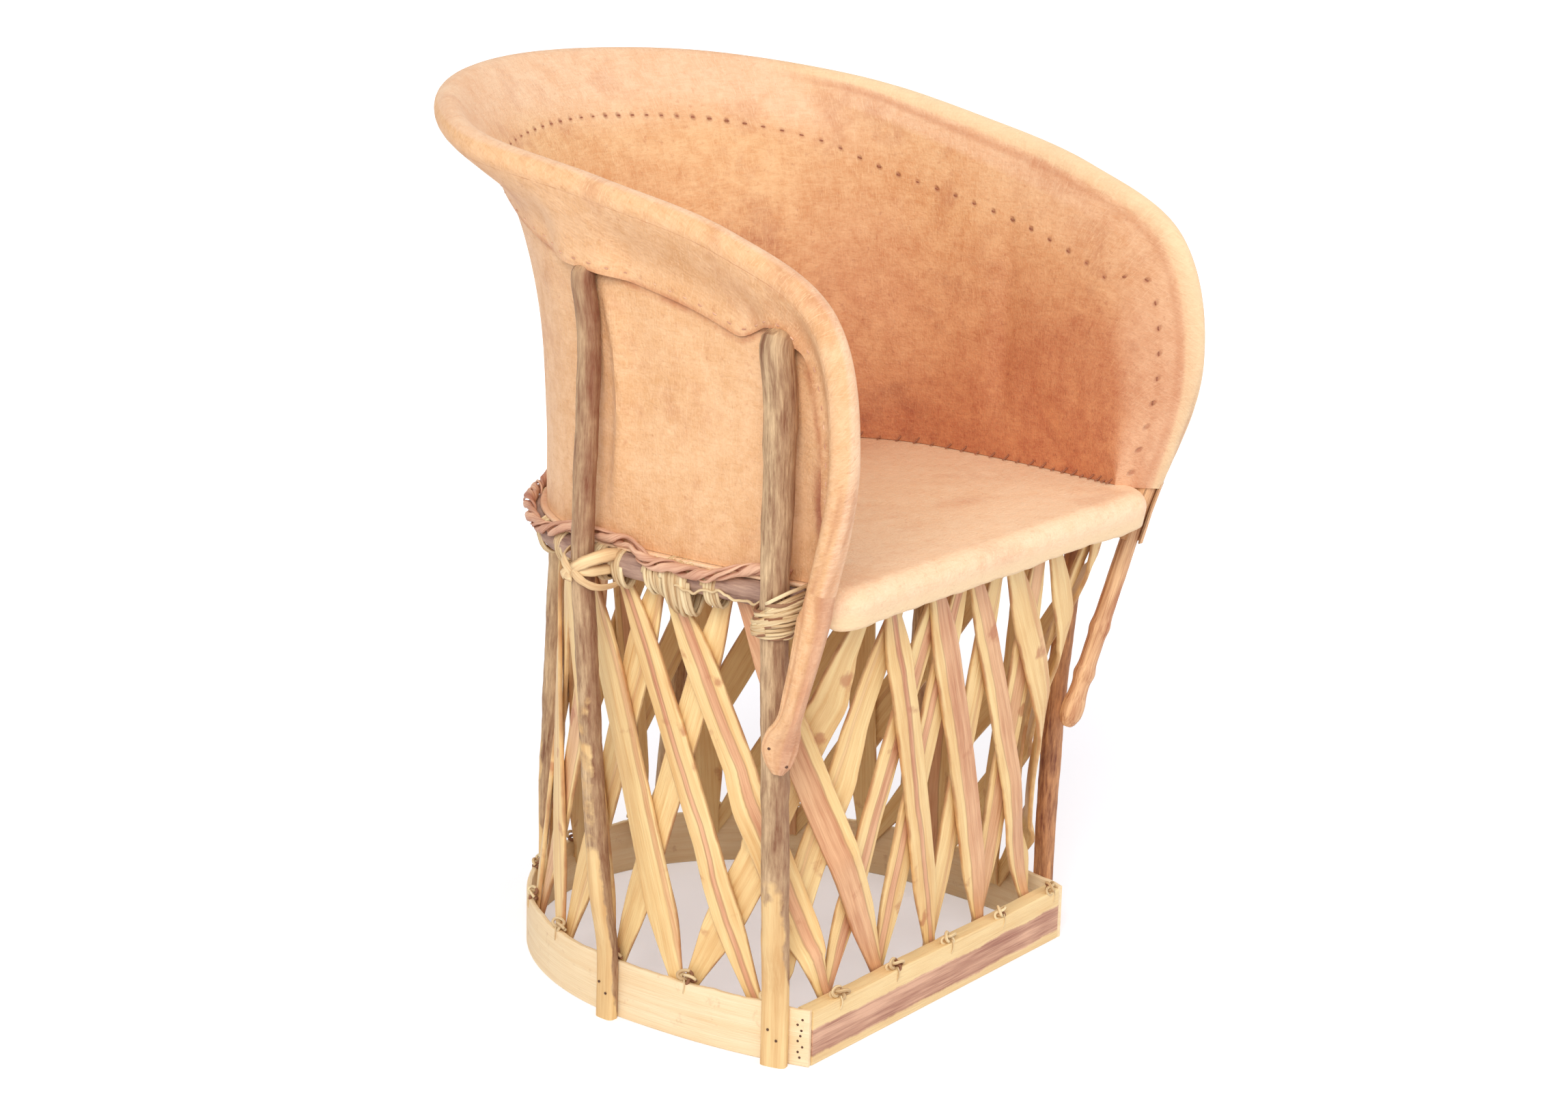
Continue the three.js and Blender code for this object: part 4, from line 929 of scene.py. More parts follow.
# A painted shadow of the hem's edge on the wall just below it.
under = sums(tree, "ABSOLUTE", sums(tree, "ADD", off_seam_y, 0.0095))
under = fade(tree, under, 0.008, 0.001)
blots = slope(tree, noise(tree, place, 38.0, 6.0, 0.7), 0.38, 0.62)
under = sums(tree, "MULTIPLY", under, mark_of(tree, "wall"))
edge_stain = sums(tree, "MAXIMUM", edge_stain, under)
edge_stain = sums(tree, "MULTIPLY", edge_stain, sums(tree, "MULTIPLY_ADD", blots, 0.5, 0.1))
edge_stain = sums(tree, "MULTIPLY", edge_stain, sums(tree, "SUBTRACT", 1.0, inner))
colour = mixed(tree, edge_stain, colour, srgb(186, 108, 68))
# The painted red-brown shadow of the near front post, broken up by blots.
stained_red = sums(tree, "MULTIPLY", sums(tree, "SUBTRACT", 1.0, inner),
                   sums(tree, "MULTIPLY_ADD", blots, 0.35, 0.5))
stained_red = sums(tree, "MULTIPLY", mark_of(tree, "stained"), stained_red)
colour = mixed(tree, stained_red, colour, srgb(158, 84, 60))
# The valleys between wrinkles are painted darker as shade.
valley = mark_of(tree, "valley")
colour = mixed(tree, sums(tree, "MULTIPLY", valley, 0.55), colour, srgb(196, 134, 92))
shader.inputs["Specular IOR Level"].default_value = 0.35
coated(tree, shader, mixed(tree, dimple, colour, srgb(158, 84, 58)),
       outside_skin.outputs["Roughness"],
       sums(tree, "MULTIPLY_ADD", dimple, -2.0, outside_skin.outputs["Height"]), 0.0009)

back_leather = make_piece(
    "back_and_arm_hide", points, turned_out(points, faces), hide_finish, "pigskin",
    ["back_and_arm_leather"], 40, grain=np.stack([along[column], run[row, column], side], 1),
    inside=inside, stitch=stitch, valley=np.clip(valleys[row, column], 0, 1),
    wall=(row < hide_rows) * 1.0, stained=stained[row, column],
    pitch=np.interp(q, seam_q, pitch)[column])


# Rim pole's wood
# The peeled pole itself, reddish and smooth. It is whittled to a tip at the near end, and bare at the
# far end, with two small knots and the thick knot where it was cut.

pole_finish, tree, shader = new_finish("Peeled switch")
mark, grain = wood_grain(tree, srgb(246, 200, 150), srgb(176, 108, 70), 0.75)
coated(tree, shader, grain.outputs["Color"], 0.55, grain.outputs["Height"], 0.0008)

pole_stations = 900
pole_tip, pole_knots = 0.012, ((0.957, 0.0015), (0.977, 0.002))
u = np.linspace(pole_tip, 1, pole_stations)
middle, way = on_rim(u)
bare = eased(u, rim_end + 0.012, rim_end + 0.03)
radius = rim_radius * (0.97 - 0.04 * bare)
for at, swell in pole_knots:
    radius += swell * bare * np.exp(-((u - at) / 0.003) ** 2)
radius += (knob_radius * 0.9 - radius) * np.exp(-((u - 0.992) / 0.0055) ** 2)
radius *= 0.35 + 0.65 * np.clip((u - pole_tip) / 0.045, 0, 1) ** 0.6
radius *= 0.5 + 0.5 * np.sqrt(np.clip((1 - u) / 0.004, 0, 1))
ahead = unit(np.cross(way, [0.3, 0.5, 0.8]))
bar_piece("rim_pole_wood", middle, ahead, np.cross(way, ahead),
          round_bar(radius, 16, 31, 0.018), pole_finish, "peeled_pole", ["rim_pole"], seed=2)


# Leather sleeves on the arm poles
# Pigskin rolled round the pole. The near one goes on from the end of the back leather and ends in a
# flap that is nailed to the front post. The far one is a cuff some 60 mm long.


def pole_frame(u, like):
    """A section across the pole, turned as the panel's last one is."""
    middle, way = on_rim(u)
    rise = unit(like - way * np.sum(like * way, -1, keepdims=True))
    return middle, rise, np.cross(rise, way)


# The near sleeve goes on from the last section of the hide. Down the pole that section turns into an
# ellipse a * cos, b * sin, which is flattened to a rounded flap over the post.
sleeve_from, mouth_row, sleeve_skin = rim_share(np.array(-near_past)), 42, leather_thickness * 0.8
hide_end = hide[mouth_row:, 0]
end_middle, _, end_rise, end_out = rim_frame(np.array(-near_past))
mouth = np.stack([(hide_end - end_middle) @ end_rise, (hide_end - end_middle) @ end_out], 1)
run_round = walked(mouth)
fold_top = run_round[fold_row - mouth_row]
angle = np.pi * 0.98 * np.where(run_round < fold_top, run_round / fold_top - 1,
                                (run_round - fold_top) / (run_round[-1] - fold_top))
sleeve_stations = 130
sleeve_length = 0.17
s = np.linspace(0, sleeve_length, sleeve_stations)
past_mouth = [0, 0.012, 0.0218, 0.065, 0.1135, 0.124, 0.132, 0.1465, 0.16, 0.166, sleeve_length]
half_wide = np.interp(s, past_mouth, np.array(
    [12.4, 12.8, 13, 10.8, 8.4, 9.6, 13.2, 14.4, 11, 7.5, 3]) / 1000)
half_thick = np.interp(s, past_mouth, np.array(
    [12, 12, 11.8, 11, 8.0, 7.2, 6.0, 4.2, 3, 2.6, 2.3]) / 1000)
half_wide, half_thick = (np.convolve(np.pad(h, 4, "edge"), np.hanning(11)[1:-1] / 5, "valid")
                         for h in (half_wide, half_thick))
front_post = posts["front_post_near"]
middle, rise, out = pole_frame(np.maximum(float(sleeve_from) - s / rim_length, 0), end_rise)
middle[:, 2] -= np.maximum(0, s - float(sleeve_from) * rim_length)
stem = lower_post(front_post, middle[:, 2])
toward = (middle - stem) * [1, 1, 0]
apart = np.linalg.norm(toward, axis=1)
close = front_post["radius"] + 0.0005 + half_thick
lean = eased(s, 0.108, 0.146)
middle += toward / apart[:, None] * (lean * (close - apart))[:, None]
theta = angle[:, None]
wrinkles = waver(theta * 4.3 + 0.5 * np.sin(s * 30)[None], 41)
creases = 0.0009 * wrinkles * eased(s, 0, 0.03)[None] * np.clip(half_thick / 0.007, 0.15, 1)[None]
into_tube = eased(s, 0.0, 0.03)[None]
wide_by = (1 - into_tube) * mouth[:, 1:] + into_tube * np.sin(theta) * (half_wide[None] + creases)
thick_by = (1 - into_tube) * mouth[:, :1] + into_tube * np.cos(theta) * (half_thick[None] + creases)
grid = middle[None] + out[None] * wide_by[..., None] + rise[None] * thick_by[..., None]
points, faces, row, column, side = two_sided(grid, sleeve_skin)
marks = np.stack([along[0] - s[column], run_round[row] + run[mouth_row, 0], side], 1)
flap_grid, flap_outs, flap_turns = grid, rise, angle
near_cuff = make_piece(
    "near_arm_cuff", points, turned_out(points, faces), hide_finish, "pigskin",
    ["near_arm_sleeve"], 40, grain=marks, inside=np.where(row < fold_row - mouth_row, 1 - side, side),
    stitch=np.full((len(points), 3), 0.06), valley=np.clip(-wrinkles[row, column], 0, 1))

# The far cuff is a sheet rolled round the pole: middle + radius * (cos a * out + sin a * rise).
_, _, far_rise, _ = rim_frame(np.array([1.0]))
cuff_start, cuff_length, cuff_rows = float(rim_share(np.array(1 + far_past))) - 0.002, 0.062, 90
share = np.linspace(0, 1, cuff_rows)[:, None, None]
middle, rise, out = pole_frame(cuff_start + share[:, 0, 0] * cuff_length / rim_length, far_rise[0])
a = np.linspace(-2.6, 2.6, 49)[None, :, None]
reach = fold_radius + 0.0004 + 0.00045 * waver(a * 9 + 0.4 * np.sin(share * 5), 41) * (0.4 + share)
grid = middle[:, None] + reach * np.cos(a) * out[:, None] + reach * np.sin(a) * rise[:, None]
points, faces, row, column, side = two_sided(grid, sleeve_skin)
marks = np.stack([column * 0.0013, row * cuff_length / cuff_rows + 5, side], 1)
far_cuff = make_piece(
    "far_arm_cuff", points, turned_out(points, faces), hide_finish, "pigskin", ["far_arm_sleeve"],
    40, grain=marks, inside=side * 0.0, stitch=np.full((len(points), 3), 0.06))


# Posts
# Saplings with their bark on, weathered and partly flaked off, about as thick as a thumb. The foot is
# whittled to a flat that is nailed against the strip, and the top to a flat tongue under the hem.

post_finish, tree, shader = new_finish("Grey brown bark")
mark = mark_of(tree, "grain", "Vector")
rind = grouped(tree, bark_tree, Vector=mark, Light=srgb(246, 212, 164), Dark=srgb(134, 90, 60))
_, grain = wood_grain(tree, srgb(240, 208, 150), srgb(208, 158, 100), 0.5)
bare = mark_of(tree, "bare")
ragged = noise(tree, mark, 70.0, 5.0)
bare = sums(tree, "ADD", bare, sums(tree, "MULTIPLY_ADD", ragged, 0.6, -0.3))
bare = slope(tree, bare, 0.44, 0.56)
# Darker bark, partly its own tone and partly painted shade.
weathered = mark_of(tree, "weathered")
weathered = sums(tree, "MULTIPLY", weathered, sums(tree, "MULTIPLY_ADD", ragged, 1.2, 0.4))
rind_colour = mixed(tree, weathered, rind.outputs["Color"], srgb(124, 62, 36))
coated(tree, shader, mixed(tree, bare, rind_colour, grain.outputs["Color"]), 0.72,
       sums(tree, "MULTIPLY", rind.outputs["Height"], sums(tree, "SUBTRACT", 1.15, bare)), 0.0014)

switch_finish, tree, shader = new_finish("Red brown bark")
mark = mark_of(tree, "grain", "Vector")
rind = grouped(tree, bark_tree, Vector=mark, Light=srgb(232, 170, 116), Dark=srgb(116, 62, 42))
coated(tree, shader, rind.outputs["Color"], 0.65, rind.outputs["Height"], 0.0012)

post_steps, post_sides = 170, 24
for number, (name, post) in enumerate(posts.items()):
    radius = post["radius"] * (0.9 if name == "side_post_near" else 1)
    stations = np.array([0, foot_rise, foot_rise + taper, 0.212, 0.284, 0.356, hoop_height])
    lower = lower_post(post, stations)
    _, out3, side3 = stance(base, post["foot"])
    upper = radius * (1.12 if name == "front_post_near" else 0.97)
    tongue = (float(hem_width(post["top_q"])) - tongue_reach) / post["fall"]
    runs = np.array([taper, 0.006, *np.linspace(-0.001, -tongue, 4)])
    lie = np.array([leather_thickness / 2 + gap + upper] * 2
                   + [leather_thickness / 2 + 0.0006 + tongue_thickness / 2] * 4)
    target = post["edge"] + runs[:, None] * post["down"]
    on_q, on_v = nearest_on_hide(target)
    outs = hide_out(on_q, on_v)
    lift = lie - np.sum((target - hide_at(on_q, on_v)) * outs, -1)
    spots = target + outs * lift[:, None]
    sides = unit(np.cross(outs, post["down"]))
    keys = np.concatenate([lower, spots])
    out_keys = np.concatenate([np.broadcast_to(out3, (7, 3)), outs])
    side_keys = np.concatenate([np.broadcast_to(side3, (7, 3)), sides])
    half_a = np.array([foot_thickness / 2] * 2 + [radius * 0.95] * 5 + [upper] * 2
                      + [tongue_thickness / 2] * 4)
    half_b = np.array([radius * 0.95] * 7 + [upper] * 2 + [tongue_width / 2] * 4)
    squared = np.array([0.55, 0.55] + [1.0] * 7 + [0.55] * 4)
    run = walked(keys)
    line, length = smooth_line(keys, post_steps)
    s = np.linspace(0, run[-1], post_steps)
    line[0], line[-1] = keys[0], keys[-1]
    blend = [read_line(s, run, k) for k in (out_keys, side_keys)]
    way = unit(np.gradient(line, axis=0))
    way[:3] = (0, 0, 1)
    ahead = unit(blend[0] - way * np.sum(blend[0] * way, 1, keepdims=True))
    across = unit(np.cross(way, ahead))
    across *= np.sign(np.sum(across * blend[1], 1, keepdims=True))
    a, b, e = (np.interp(s, run, k)[:, None] for k in (half_a, half_b, squared))
    turn = (np.arange(post_sides) + 0.5) * 2 * np.pi / post_sides
    c, d = np.cos(turn)[None], np.sin(turn)[None]
    rough = 1 + (0.035 * waver(s[:, None] * 70 + c, 50 + number)
                 + 0.03 * waver(s[:, None] * 25 + 2 * d, 60 + number)) * eased(s, 0.08, 0.14)[:, None] \
        * (1 - eased(s, length - 0.11, length - 0.08))[:, None]
    section = np.stack([a * np.sign(c) * np.abs(c) ** e, b * np.sign(d) * np.abs(d) ** e], -1)
    section *= rough[..., None]

    # How bare the wood is: whittled at the foot, worn on its outer side, and flaking on one post.
    whittled = {"front_post_near": 0.075, "side_post_near": 0.01}.get(name, 0.06)
    bare = 1 - eased(s, whittled - 0.03, whittled + 0.03)
    flaking = 0.68 * (1 - eased(s, 0.3, 0.42)) if name == "side_post_near" else 0.0
    facing = np.clip(c * 0.8 + 0.35, 0, 1) * np.maximum(flaking, 1 - eased(s, 0.12, 0.26))[:, None]
    bare = np.clip(bare[:, None] * 0.75 + facing * 0.7, 0, 1)

    # How much darker the bark is painted at the foot, under the seat, over it and at the top, partly
    # its own tone and partly painted shade, as under the near sleeve's flap; on its front side it is
    # painted darker as shade.
    darkness = {"side_post_near": (0, 0, 0.3, 0.38), "front_post_near": (0.02, 0.12, 0, 0)}
    weathered = np.interp(s, (0.1, 0.2, 0.5, 0.6), darkness.get(name, (0.1,) * 4))[:, None]
    to_front = -(c * ahead[:, 1:2] + d * across[:, 1:2])
    weathered = weathered + 0.36 * eased(to_front, 0.2, 0.95)
    finish = switch_finish if name == "front_post_far" else post_finish
    bar_piece(name + "_sapling", line, ahead, across, section, finish, "post_bark", [name],
              seed=number, bare=bare, weathered=weathered)


# Seat leather
# One skin pulled tight over the hoop while wet. It is sewn to the foot of the back leather, and in
# front a lip is folded down over the hoop.

seat_sag, seat_lip_drop, side_drop = 0.009, 0.014, 0.001
wrap_radius = hoop_radius + seat_slack + seat_skin / 2
level = seat_top - seat_skin / 2
seat_columns, disc_rows, lip_rows = 480, 40, 16
share = np.linspace(-1, 1, seat_columns + 1)[1:]
edge = place_on(hoop, share, 0.0, level)
_, out = walk(hoop, share)
out = np.concatenate([out, np.zeros((seat_columns, 1))], 1)
centre = np.array([0, middle_y + 0.01, level - seat_sag])
part = np.linspace(0.02, 1, disc_rows)[:, None]
disc = centre + (edge[None] - centre) * part[..., None]
disc[..., 2] = level - seat_sag * (1 - part ** 2)
swell = waver(disc[..., 0] * 22 + disc[..., 1] * 9, 71) * waver(disc[..., 1] * 17, 72)
disc[..., 2] += 0.0012 * swell * (1 - part ** 4)
lip_end, lip_gone, front_turn = 0.281, 0.313, 1.75
front = 1 - eased(np.abs(share), lip_end, lip_gone)
small_turn = side_drop / wrap_radius
lip_turn = small_turn + (front_turn - small_turn) * front
angle = lip_turn[None] * np.linspace(0, 1, lip_rows + 1)[1:, None]
wrap = edge[None] + out[None] * wrap_radius * np.sin(angle)[..., None]
wrap[..., 2] += wrap_radius * (np.cos(angle) - 1)
ragged = 1 + 0.1 * waver(share * 24, 73)
fall = (seat_lip_drop * ragged) * front + side_drop * (1 - front)
drop = np.linspace(0, 1, 7)[1:, None] * fall[None]
skirt = wrap[-1][None] + out[None] * (drop * np.cos(lip_turn))[..., None]
skirt[..., 2] -= drop * np.sin(lip_turn)
grid = np.concatenate([disc, wrap, skirt])
rows = len(grid)
closed = np.concatenate([grid[:, -1:], grid, grid[:, :1]], 1)
normal = unit(np.cross(np.gradient(closed, axis=0), np.gradient(closed, axis=1)))[:, 1:-1]
upper = 1 if normal[3, :, 2].mean() > 0 else -1
faces_up = grid + upper * normal * seat_skin / 2
faces_down = grid - upper * normal * seat_skin / 2
edge_row = grid[-1:] + unit(grid[-1:] - grid[-2:-1]) * seat_skin * 0.35
loop = np.concatenate([faces_up, edge_row, faces_down[::-1]])
points = np.concatenate([loop.reshape(-1, 3), centre + [[0, 0, seat_skin / 2]],
                         centre - [[0, 0, seat_skin / 2]]])
faces = ring_quads(len(loop), seat_columns)[:-2]
last = (len(loop) - 1) * seat_columns
j = np.arange(seat_columns)
k = (j + 1) % seat_columns
faces += np.stack([k, j, np.full(seat_columns, len(points) - 2)], 1).tolist()
faces += np.stack([last + j, last + k, np.full(seat_columns, len(points) - 1)], 1).tolist()

seat_finish, tree, shader = new_finish("Seat pigskin")
mark = mark_of(tree, "grain", "Vector")
place = object_place(tree)
top_skin = skin_of(tree, mark, place, (254, 220, 182), (247, 204, 162), (222, 160, 122))
back_skin = skin_of(tree, mark, place, (226, 170, 126), (208, 144, 102), (178, 108, 78))
split = parts_of(tree, place)
waves = noise(tree, place, 6.0, 4.0)
rear = fade(tree, sums(tree, "MULTIPLY_ADD", waves, 0.16, split["Y"]), 0.06, 0.26)
colour = mixed(tree, rear, top_skin.outputs["Color"], back_skin.outputs["Color"])
lip = fade(tree, split["Z"], 0.426, 0.412)
shader.inputs["Specular IOR Level"].default_value = 0.35
coated(tree, shader, mixed(tree, lip, colour, srgb(246, 214, 170)), top_skin.outputs["Roughness"],
       top_skin.outputs["Height"], 0.0008)
grain = np.concatenate([points[:, :2], points[:, 2:] + 9], 1)
seat = make_piece("seat_hide", points, turned_out(points, faces), seat_finish, "seat_leather",
                  ["seat_leather"], grain=grain)


# Lace
# Three flat strands of pinkish leather, one of them thin, twisted into a cord. It holds the foot of
# the back leather to the hoop, and sags a little over the hoop between two posts.

lace_radius = 0.0055
seam = np.array([foot_inwards + leather_thickness / 2 + gap + lace_radius,
                 seat_top - hoop_height + gap + lace_radius])
seam_turn, seam_reach = math.atan2(seam[0], seam[1]), float(np.hypot(*seam))
close_reach = hoop_radius + gap + lace_radius
lace_from, lace_to = posts["front_post_near"]["seat"], posts["front_post_far"]["seat"]
lace_steps = 900
share = lace_from + (lace_to - 2 - lace_from) * np.linspace(0, 1, lace_steps)
away = np.min([np.abs(s - 2 * np.round(s / 2)) for s in
               (share - p["seat"] for p in posts.values())], 0)
slip = eased(away, 0.03, 0.09)
turn = seam_turn + (0.9 - seam_turn) * slip
reach = seam_reach + (close_reach - seam_reach) * slip ** 2
lace_line = place_on(hoop, share, reach * np.sin(turn), hoop_height + reach * np.cos(turn))
lace_way = unit(np.gradient(lace_line, axis=0))
lace_lift = unit(np.cross(np.cross(lace_way, [0, 0, 1.0]), lace_way))
lace_side = np.cross(lace_way, lace_lift)
lace_run = walked(lace_line)

lace_finish, tree, shader = new_finish("Pink leather lace")
mark, grain = wood_grain(tree, srgb(236, 190, 156), srgb(176, 112, 86), 0.8)
coated(tree, shader, grain.outputs["Color"], 0.6, grain.outputs["Height"], 0.0008)


def wound_piece(name, parts, finish, slot, stands_for=(), **more):
    """One piece of several closed tubes: each part is an array of rings of points."""
    points, faces, marks, first = [], [], [], 0
    for number, rings in enumerate(parts):
        rows, columns = rings.shape[:2]
        flat = rings.reshape(-1, 3)
        faces += [[k + first for k in f] for f in turned_out(flat, ring_quads(rows, columns))]
        along = walked(rings.mean(1)) + 0.61 * number
        turn = np.linspace(0, 2 * np.pi, columns, endpoint=False)
        wide = np.linalg.norm(rings - rings.mean(1, keepdims=True), axis=-1)
        marks.append(np.stack([np.broadcast_to(along[:, None], wide.shape),
                               wide * np.cos(turn), wide * np.sin(turn)], -1).reshape(-1, 3))
        points.append(flat)
        first += len(flat)
    make_piece(name, np.concatenate(points), faces, finish, slot, stands_for,
               grain=np.concatenate(marks), **more)


def tube(line, radius, sides, ahead, flat=1.0):
    """A round or flattened cord along a line: line + radius * (cos a * N + flat * sin a * B)."""
    way = unit(np.gradient(line, axis=0))
    ahead = np.broadcast_to(ahead, line.shape)
    n = unit(ahead - way * np.sum(ahead * way, 1, keepdims=True))
    b = np.cross(way, n)
    a = np.linspace(0, 2 * np.pi, sides, endpoint=False)[None, :, None]
    radius = np.broadcast_to(radius, (len(line),))[:, None, None]
    return line[:, None] + radius * (np.cos(a) * n[:, None] + flat * np.sin(a) * b[:, None])


lace_pitch = 0.078                       # the length of one full twist
twist = 2 * np.pi * lace_run / lace_pitch + 0.9 * waver(lace_run * 14, 80)
strands = []
for phase, off, thick, flat in ((0, 0.0033, 0.0022, 1.8), (2.9, 0.0035, 0.0021, 1.9),
                                (4.6, 0.0052, 0.001, 1.4)):
    wobble = 1 + 0.28 * waver(lace_run * 45 + phase * 3, 81)
    spin = twist + phase + 0.5 * waver(lace_run * 30 + phase, 82)
    outward = np.cos(spin)[:, None] * lace_side + np.sin(spin)[:, None] * lace_lift
    ragged = 1 + 0.22 * waver(lace_run * 70 + phase * 5, 83)
    strands.append(tube(lace_line + off * wobble[:, None] * outward, thick * ragged, 10, outward,
                        flat))
wound_piece("twisted_lace", strands, lace_finish, "lace_leather", ["seat_lace"])


# Slats
# Split cedar, shaved with a knife so that the edges are soft and both tips are narrow. Each foot place
# carries an outer and an inner slat that part ways as they rise and cross their neighbours.

slat_finish, tree, shader = new_finish("Split cedar")
mark, sap = wood_grain(tree, srgb(253, 223, 160), srgb(222, 170, 104), 0.5)
red = grouped(tree, grain_tree, Vector=mark, Light=srgb(236, 180, 138), Dark=srgb(186, 112, 80),
              Contrast=0.7)
heart = mark_of(tree, "heart", "Vector")
split = parts_of(tree, mark)
where = parts_of(tree, heart)
sway = noise(tree, stretched(tree, mark, (1, 0, 0)), 8.0, 3.0)
off = sums(tree, "SUBTRACT", split["Y"], where["X"])
off = sums(tree, "MULTIPLY_ADD", sums(tree, "SUBTRACT", sway, 0.5), 0.012, off)
off = sums(tree, "ABSOLUTE", off)
edge = sums(tree, "SUBTRACT", where["Y"], off)
stripe = fade(tree, edge, -0.0006, 0.0016)
stripe = sums(tree, "MULTIPLY", stripe, where["Z"])
rim_line_dark = fade(tree, sums(tree, "ABSOLUTE", edge), 0.0014, 0.0)
rim_line_dark = sums(tree, "MULTIPLY", rim_line_dark, sums(tree, "MULTIPLY", where["Z"], 0.6))
colour = mixed(tree, stripe, sap.outputs["Color"], red.outputs["Color"])
colour = mixed(tree, rim_line_dark, colour, srgb(150, 84, 56))
to_edge = sums(tree, "SUBTRACT", mark_of(tree, "half"), sums(tree, "ABSOLUTE", split["Y"]))
flecks = noise(tree, mark, 30.0, 5.0)
knots = fade(tree, flecks, 0.62, 0.72, 0.7)
colour = mixed(tree, knots, colour, srgb(186, 112, 72))
# Each slat is painted darker in a ragged band along its edges: partly the brown of the edges themselves
# and partly painted shade along them.
bark_edge = slope(tree, sums(tree, "MULTIPLY_ADD", flecks, 0.0048, to_edge), 0.0034, 0.0018)
colour = mixed(tree, sums(tree, "MULTIPLY", bark_edge, 0.75), colour, srgb(176, 112, 70))
coated(tree, shader, colour, 0.5, sap.outputs["Height"], 0.0006)

base_inside = barrel_outline(base_front_half - strip_thickness, base_half_width - strip_thickness,
                             base_front_reach - board_thickness, base_widest,
                             base_back - strip_thickness)

# Where each slat's top meets the hoop: the share of the hoop's half, minus on the near side.
outer_tops = [-0.18, -0.1, -0.029, 0.042, 0.127, 0.22, 0.388, 0.518, 0.648, 0.779,
              -1.091, -0.961, -0.83, -0.7, -0.643, -0.574, -0.51, -0.41]
inner_tops = [0.042, 0.127, 0.247, 0.4, 0.53, 0.66, 0.79, 0.91, 1.04, 1.2,
              -0.7, -0.6, -0.51, -0.42, -0.19, -0.133, -0.065, -0.025]

# How far the slats stand in the base, the share of the round that they lean by on the way up, how much
# their feet spread, the height of their ends, their own sizes, and how far the two layers lie apart
# halfway up, which is more at the front corners.
slat_lap, slat_lean, spreading = 0.02, 0.18, 1.3
slat_low, slat_high = strip_height - slat_lap, hoop_height + 0.002
slat_thickness, slat_width, slat_tip = 0.004, 0.031, 0.013
slat_inset = 0.0007 + slat_thickness + gap / 2
layers_apart, corner_opening = 0.002, 0.0093
corner_middle = (seat_front_half - seat_corner + seat_corner * np.pi / 4) / hoop_length


def barrel_at(share, t):
    """A place on the barrel that the slats lie on, from the inside of the base to the inside of the
    hoop: the mean of two straight lines that lean either way."""
    share, t = np.broadcast_arrays(share, t)

    def seat_edge(s):
        return place_on(hoop, s, np.full(s.shape, -hoop_radius - slat_inset), slat_high)

    def foot_edge(s):
        foot = place_on(base_inside, s, np.full(s.shape, -slat_inset), slat_low)
        _, out = walk(base_inside, s)
        reach = seat_edge(s) - foot
        spread = np.maximum(0, np.sum(reach[..., :2] * out, -1)) * spreading * slat_lap / (
            hoop_height - strip_height)
        return place_on(base_inside, s, -slat_inset - spread, slat_low)

    t3, low, high = t[..., None], slat_lean * t, slat_lean * (1 - t)
    one = foot_edge(share - low) * (1 - t3) + seat_edge(share + high) * t3
    other = foot_edge(share + low) * (1 - t3) + seat_edge(share - high) * t3
    return (one + other) / 2


# Where the heartwood lies on each slat: its offset across, its half width and its strength. The slats
# that the others don't name are pale, with a faint stripe here and there.
outer_hearts = {0: (0.0, 0.0028, 0.9), 1: (0.006, 0.011, 0.8), 2: (0.006, 0.011, 0.75),
                3: (0.012, 0.003, 0.4), 15: (0.0, 0.0024, 0.95), 16: (0.002, 0.005, 0.85),
                17: (-0.005, 0.0115, 0.8), 14: (0.012, 0.003, 0.5)}
inner_hearts = {16: (0.004, 0.006, 0.85), 17: (-0.004, 0.005, 0.9), 1: (0.0, 0.009, 0.7),
                4: (0.0, 0.006, 0.8), 6: (0.0, 0.008, 0.6), 8: (0.003, 0.006, 0.7),
                11: (0.0, 0.012, 0.6)}
slat_pairs, slat_steps, first_foot = 18, 64, 0.02
t = np.linspace(0, 1, slat_steps)
slat_tops, slat_feet = [], []
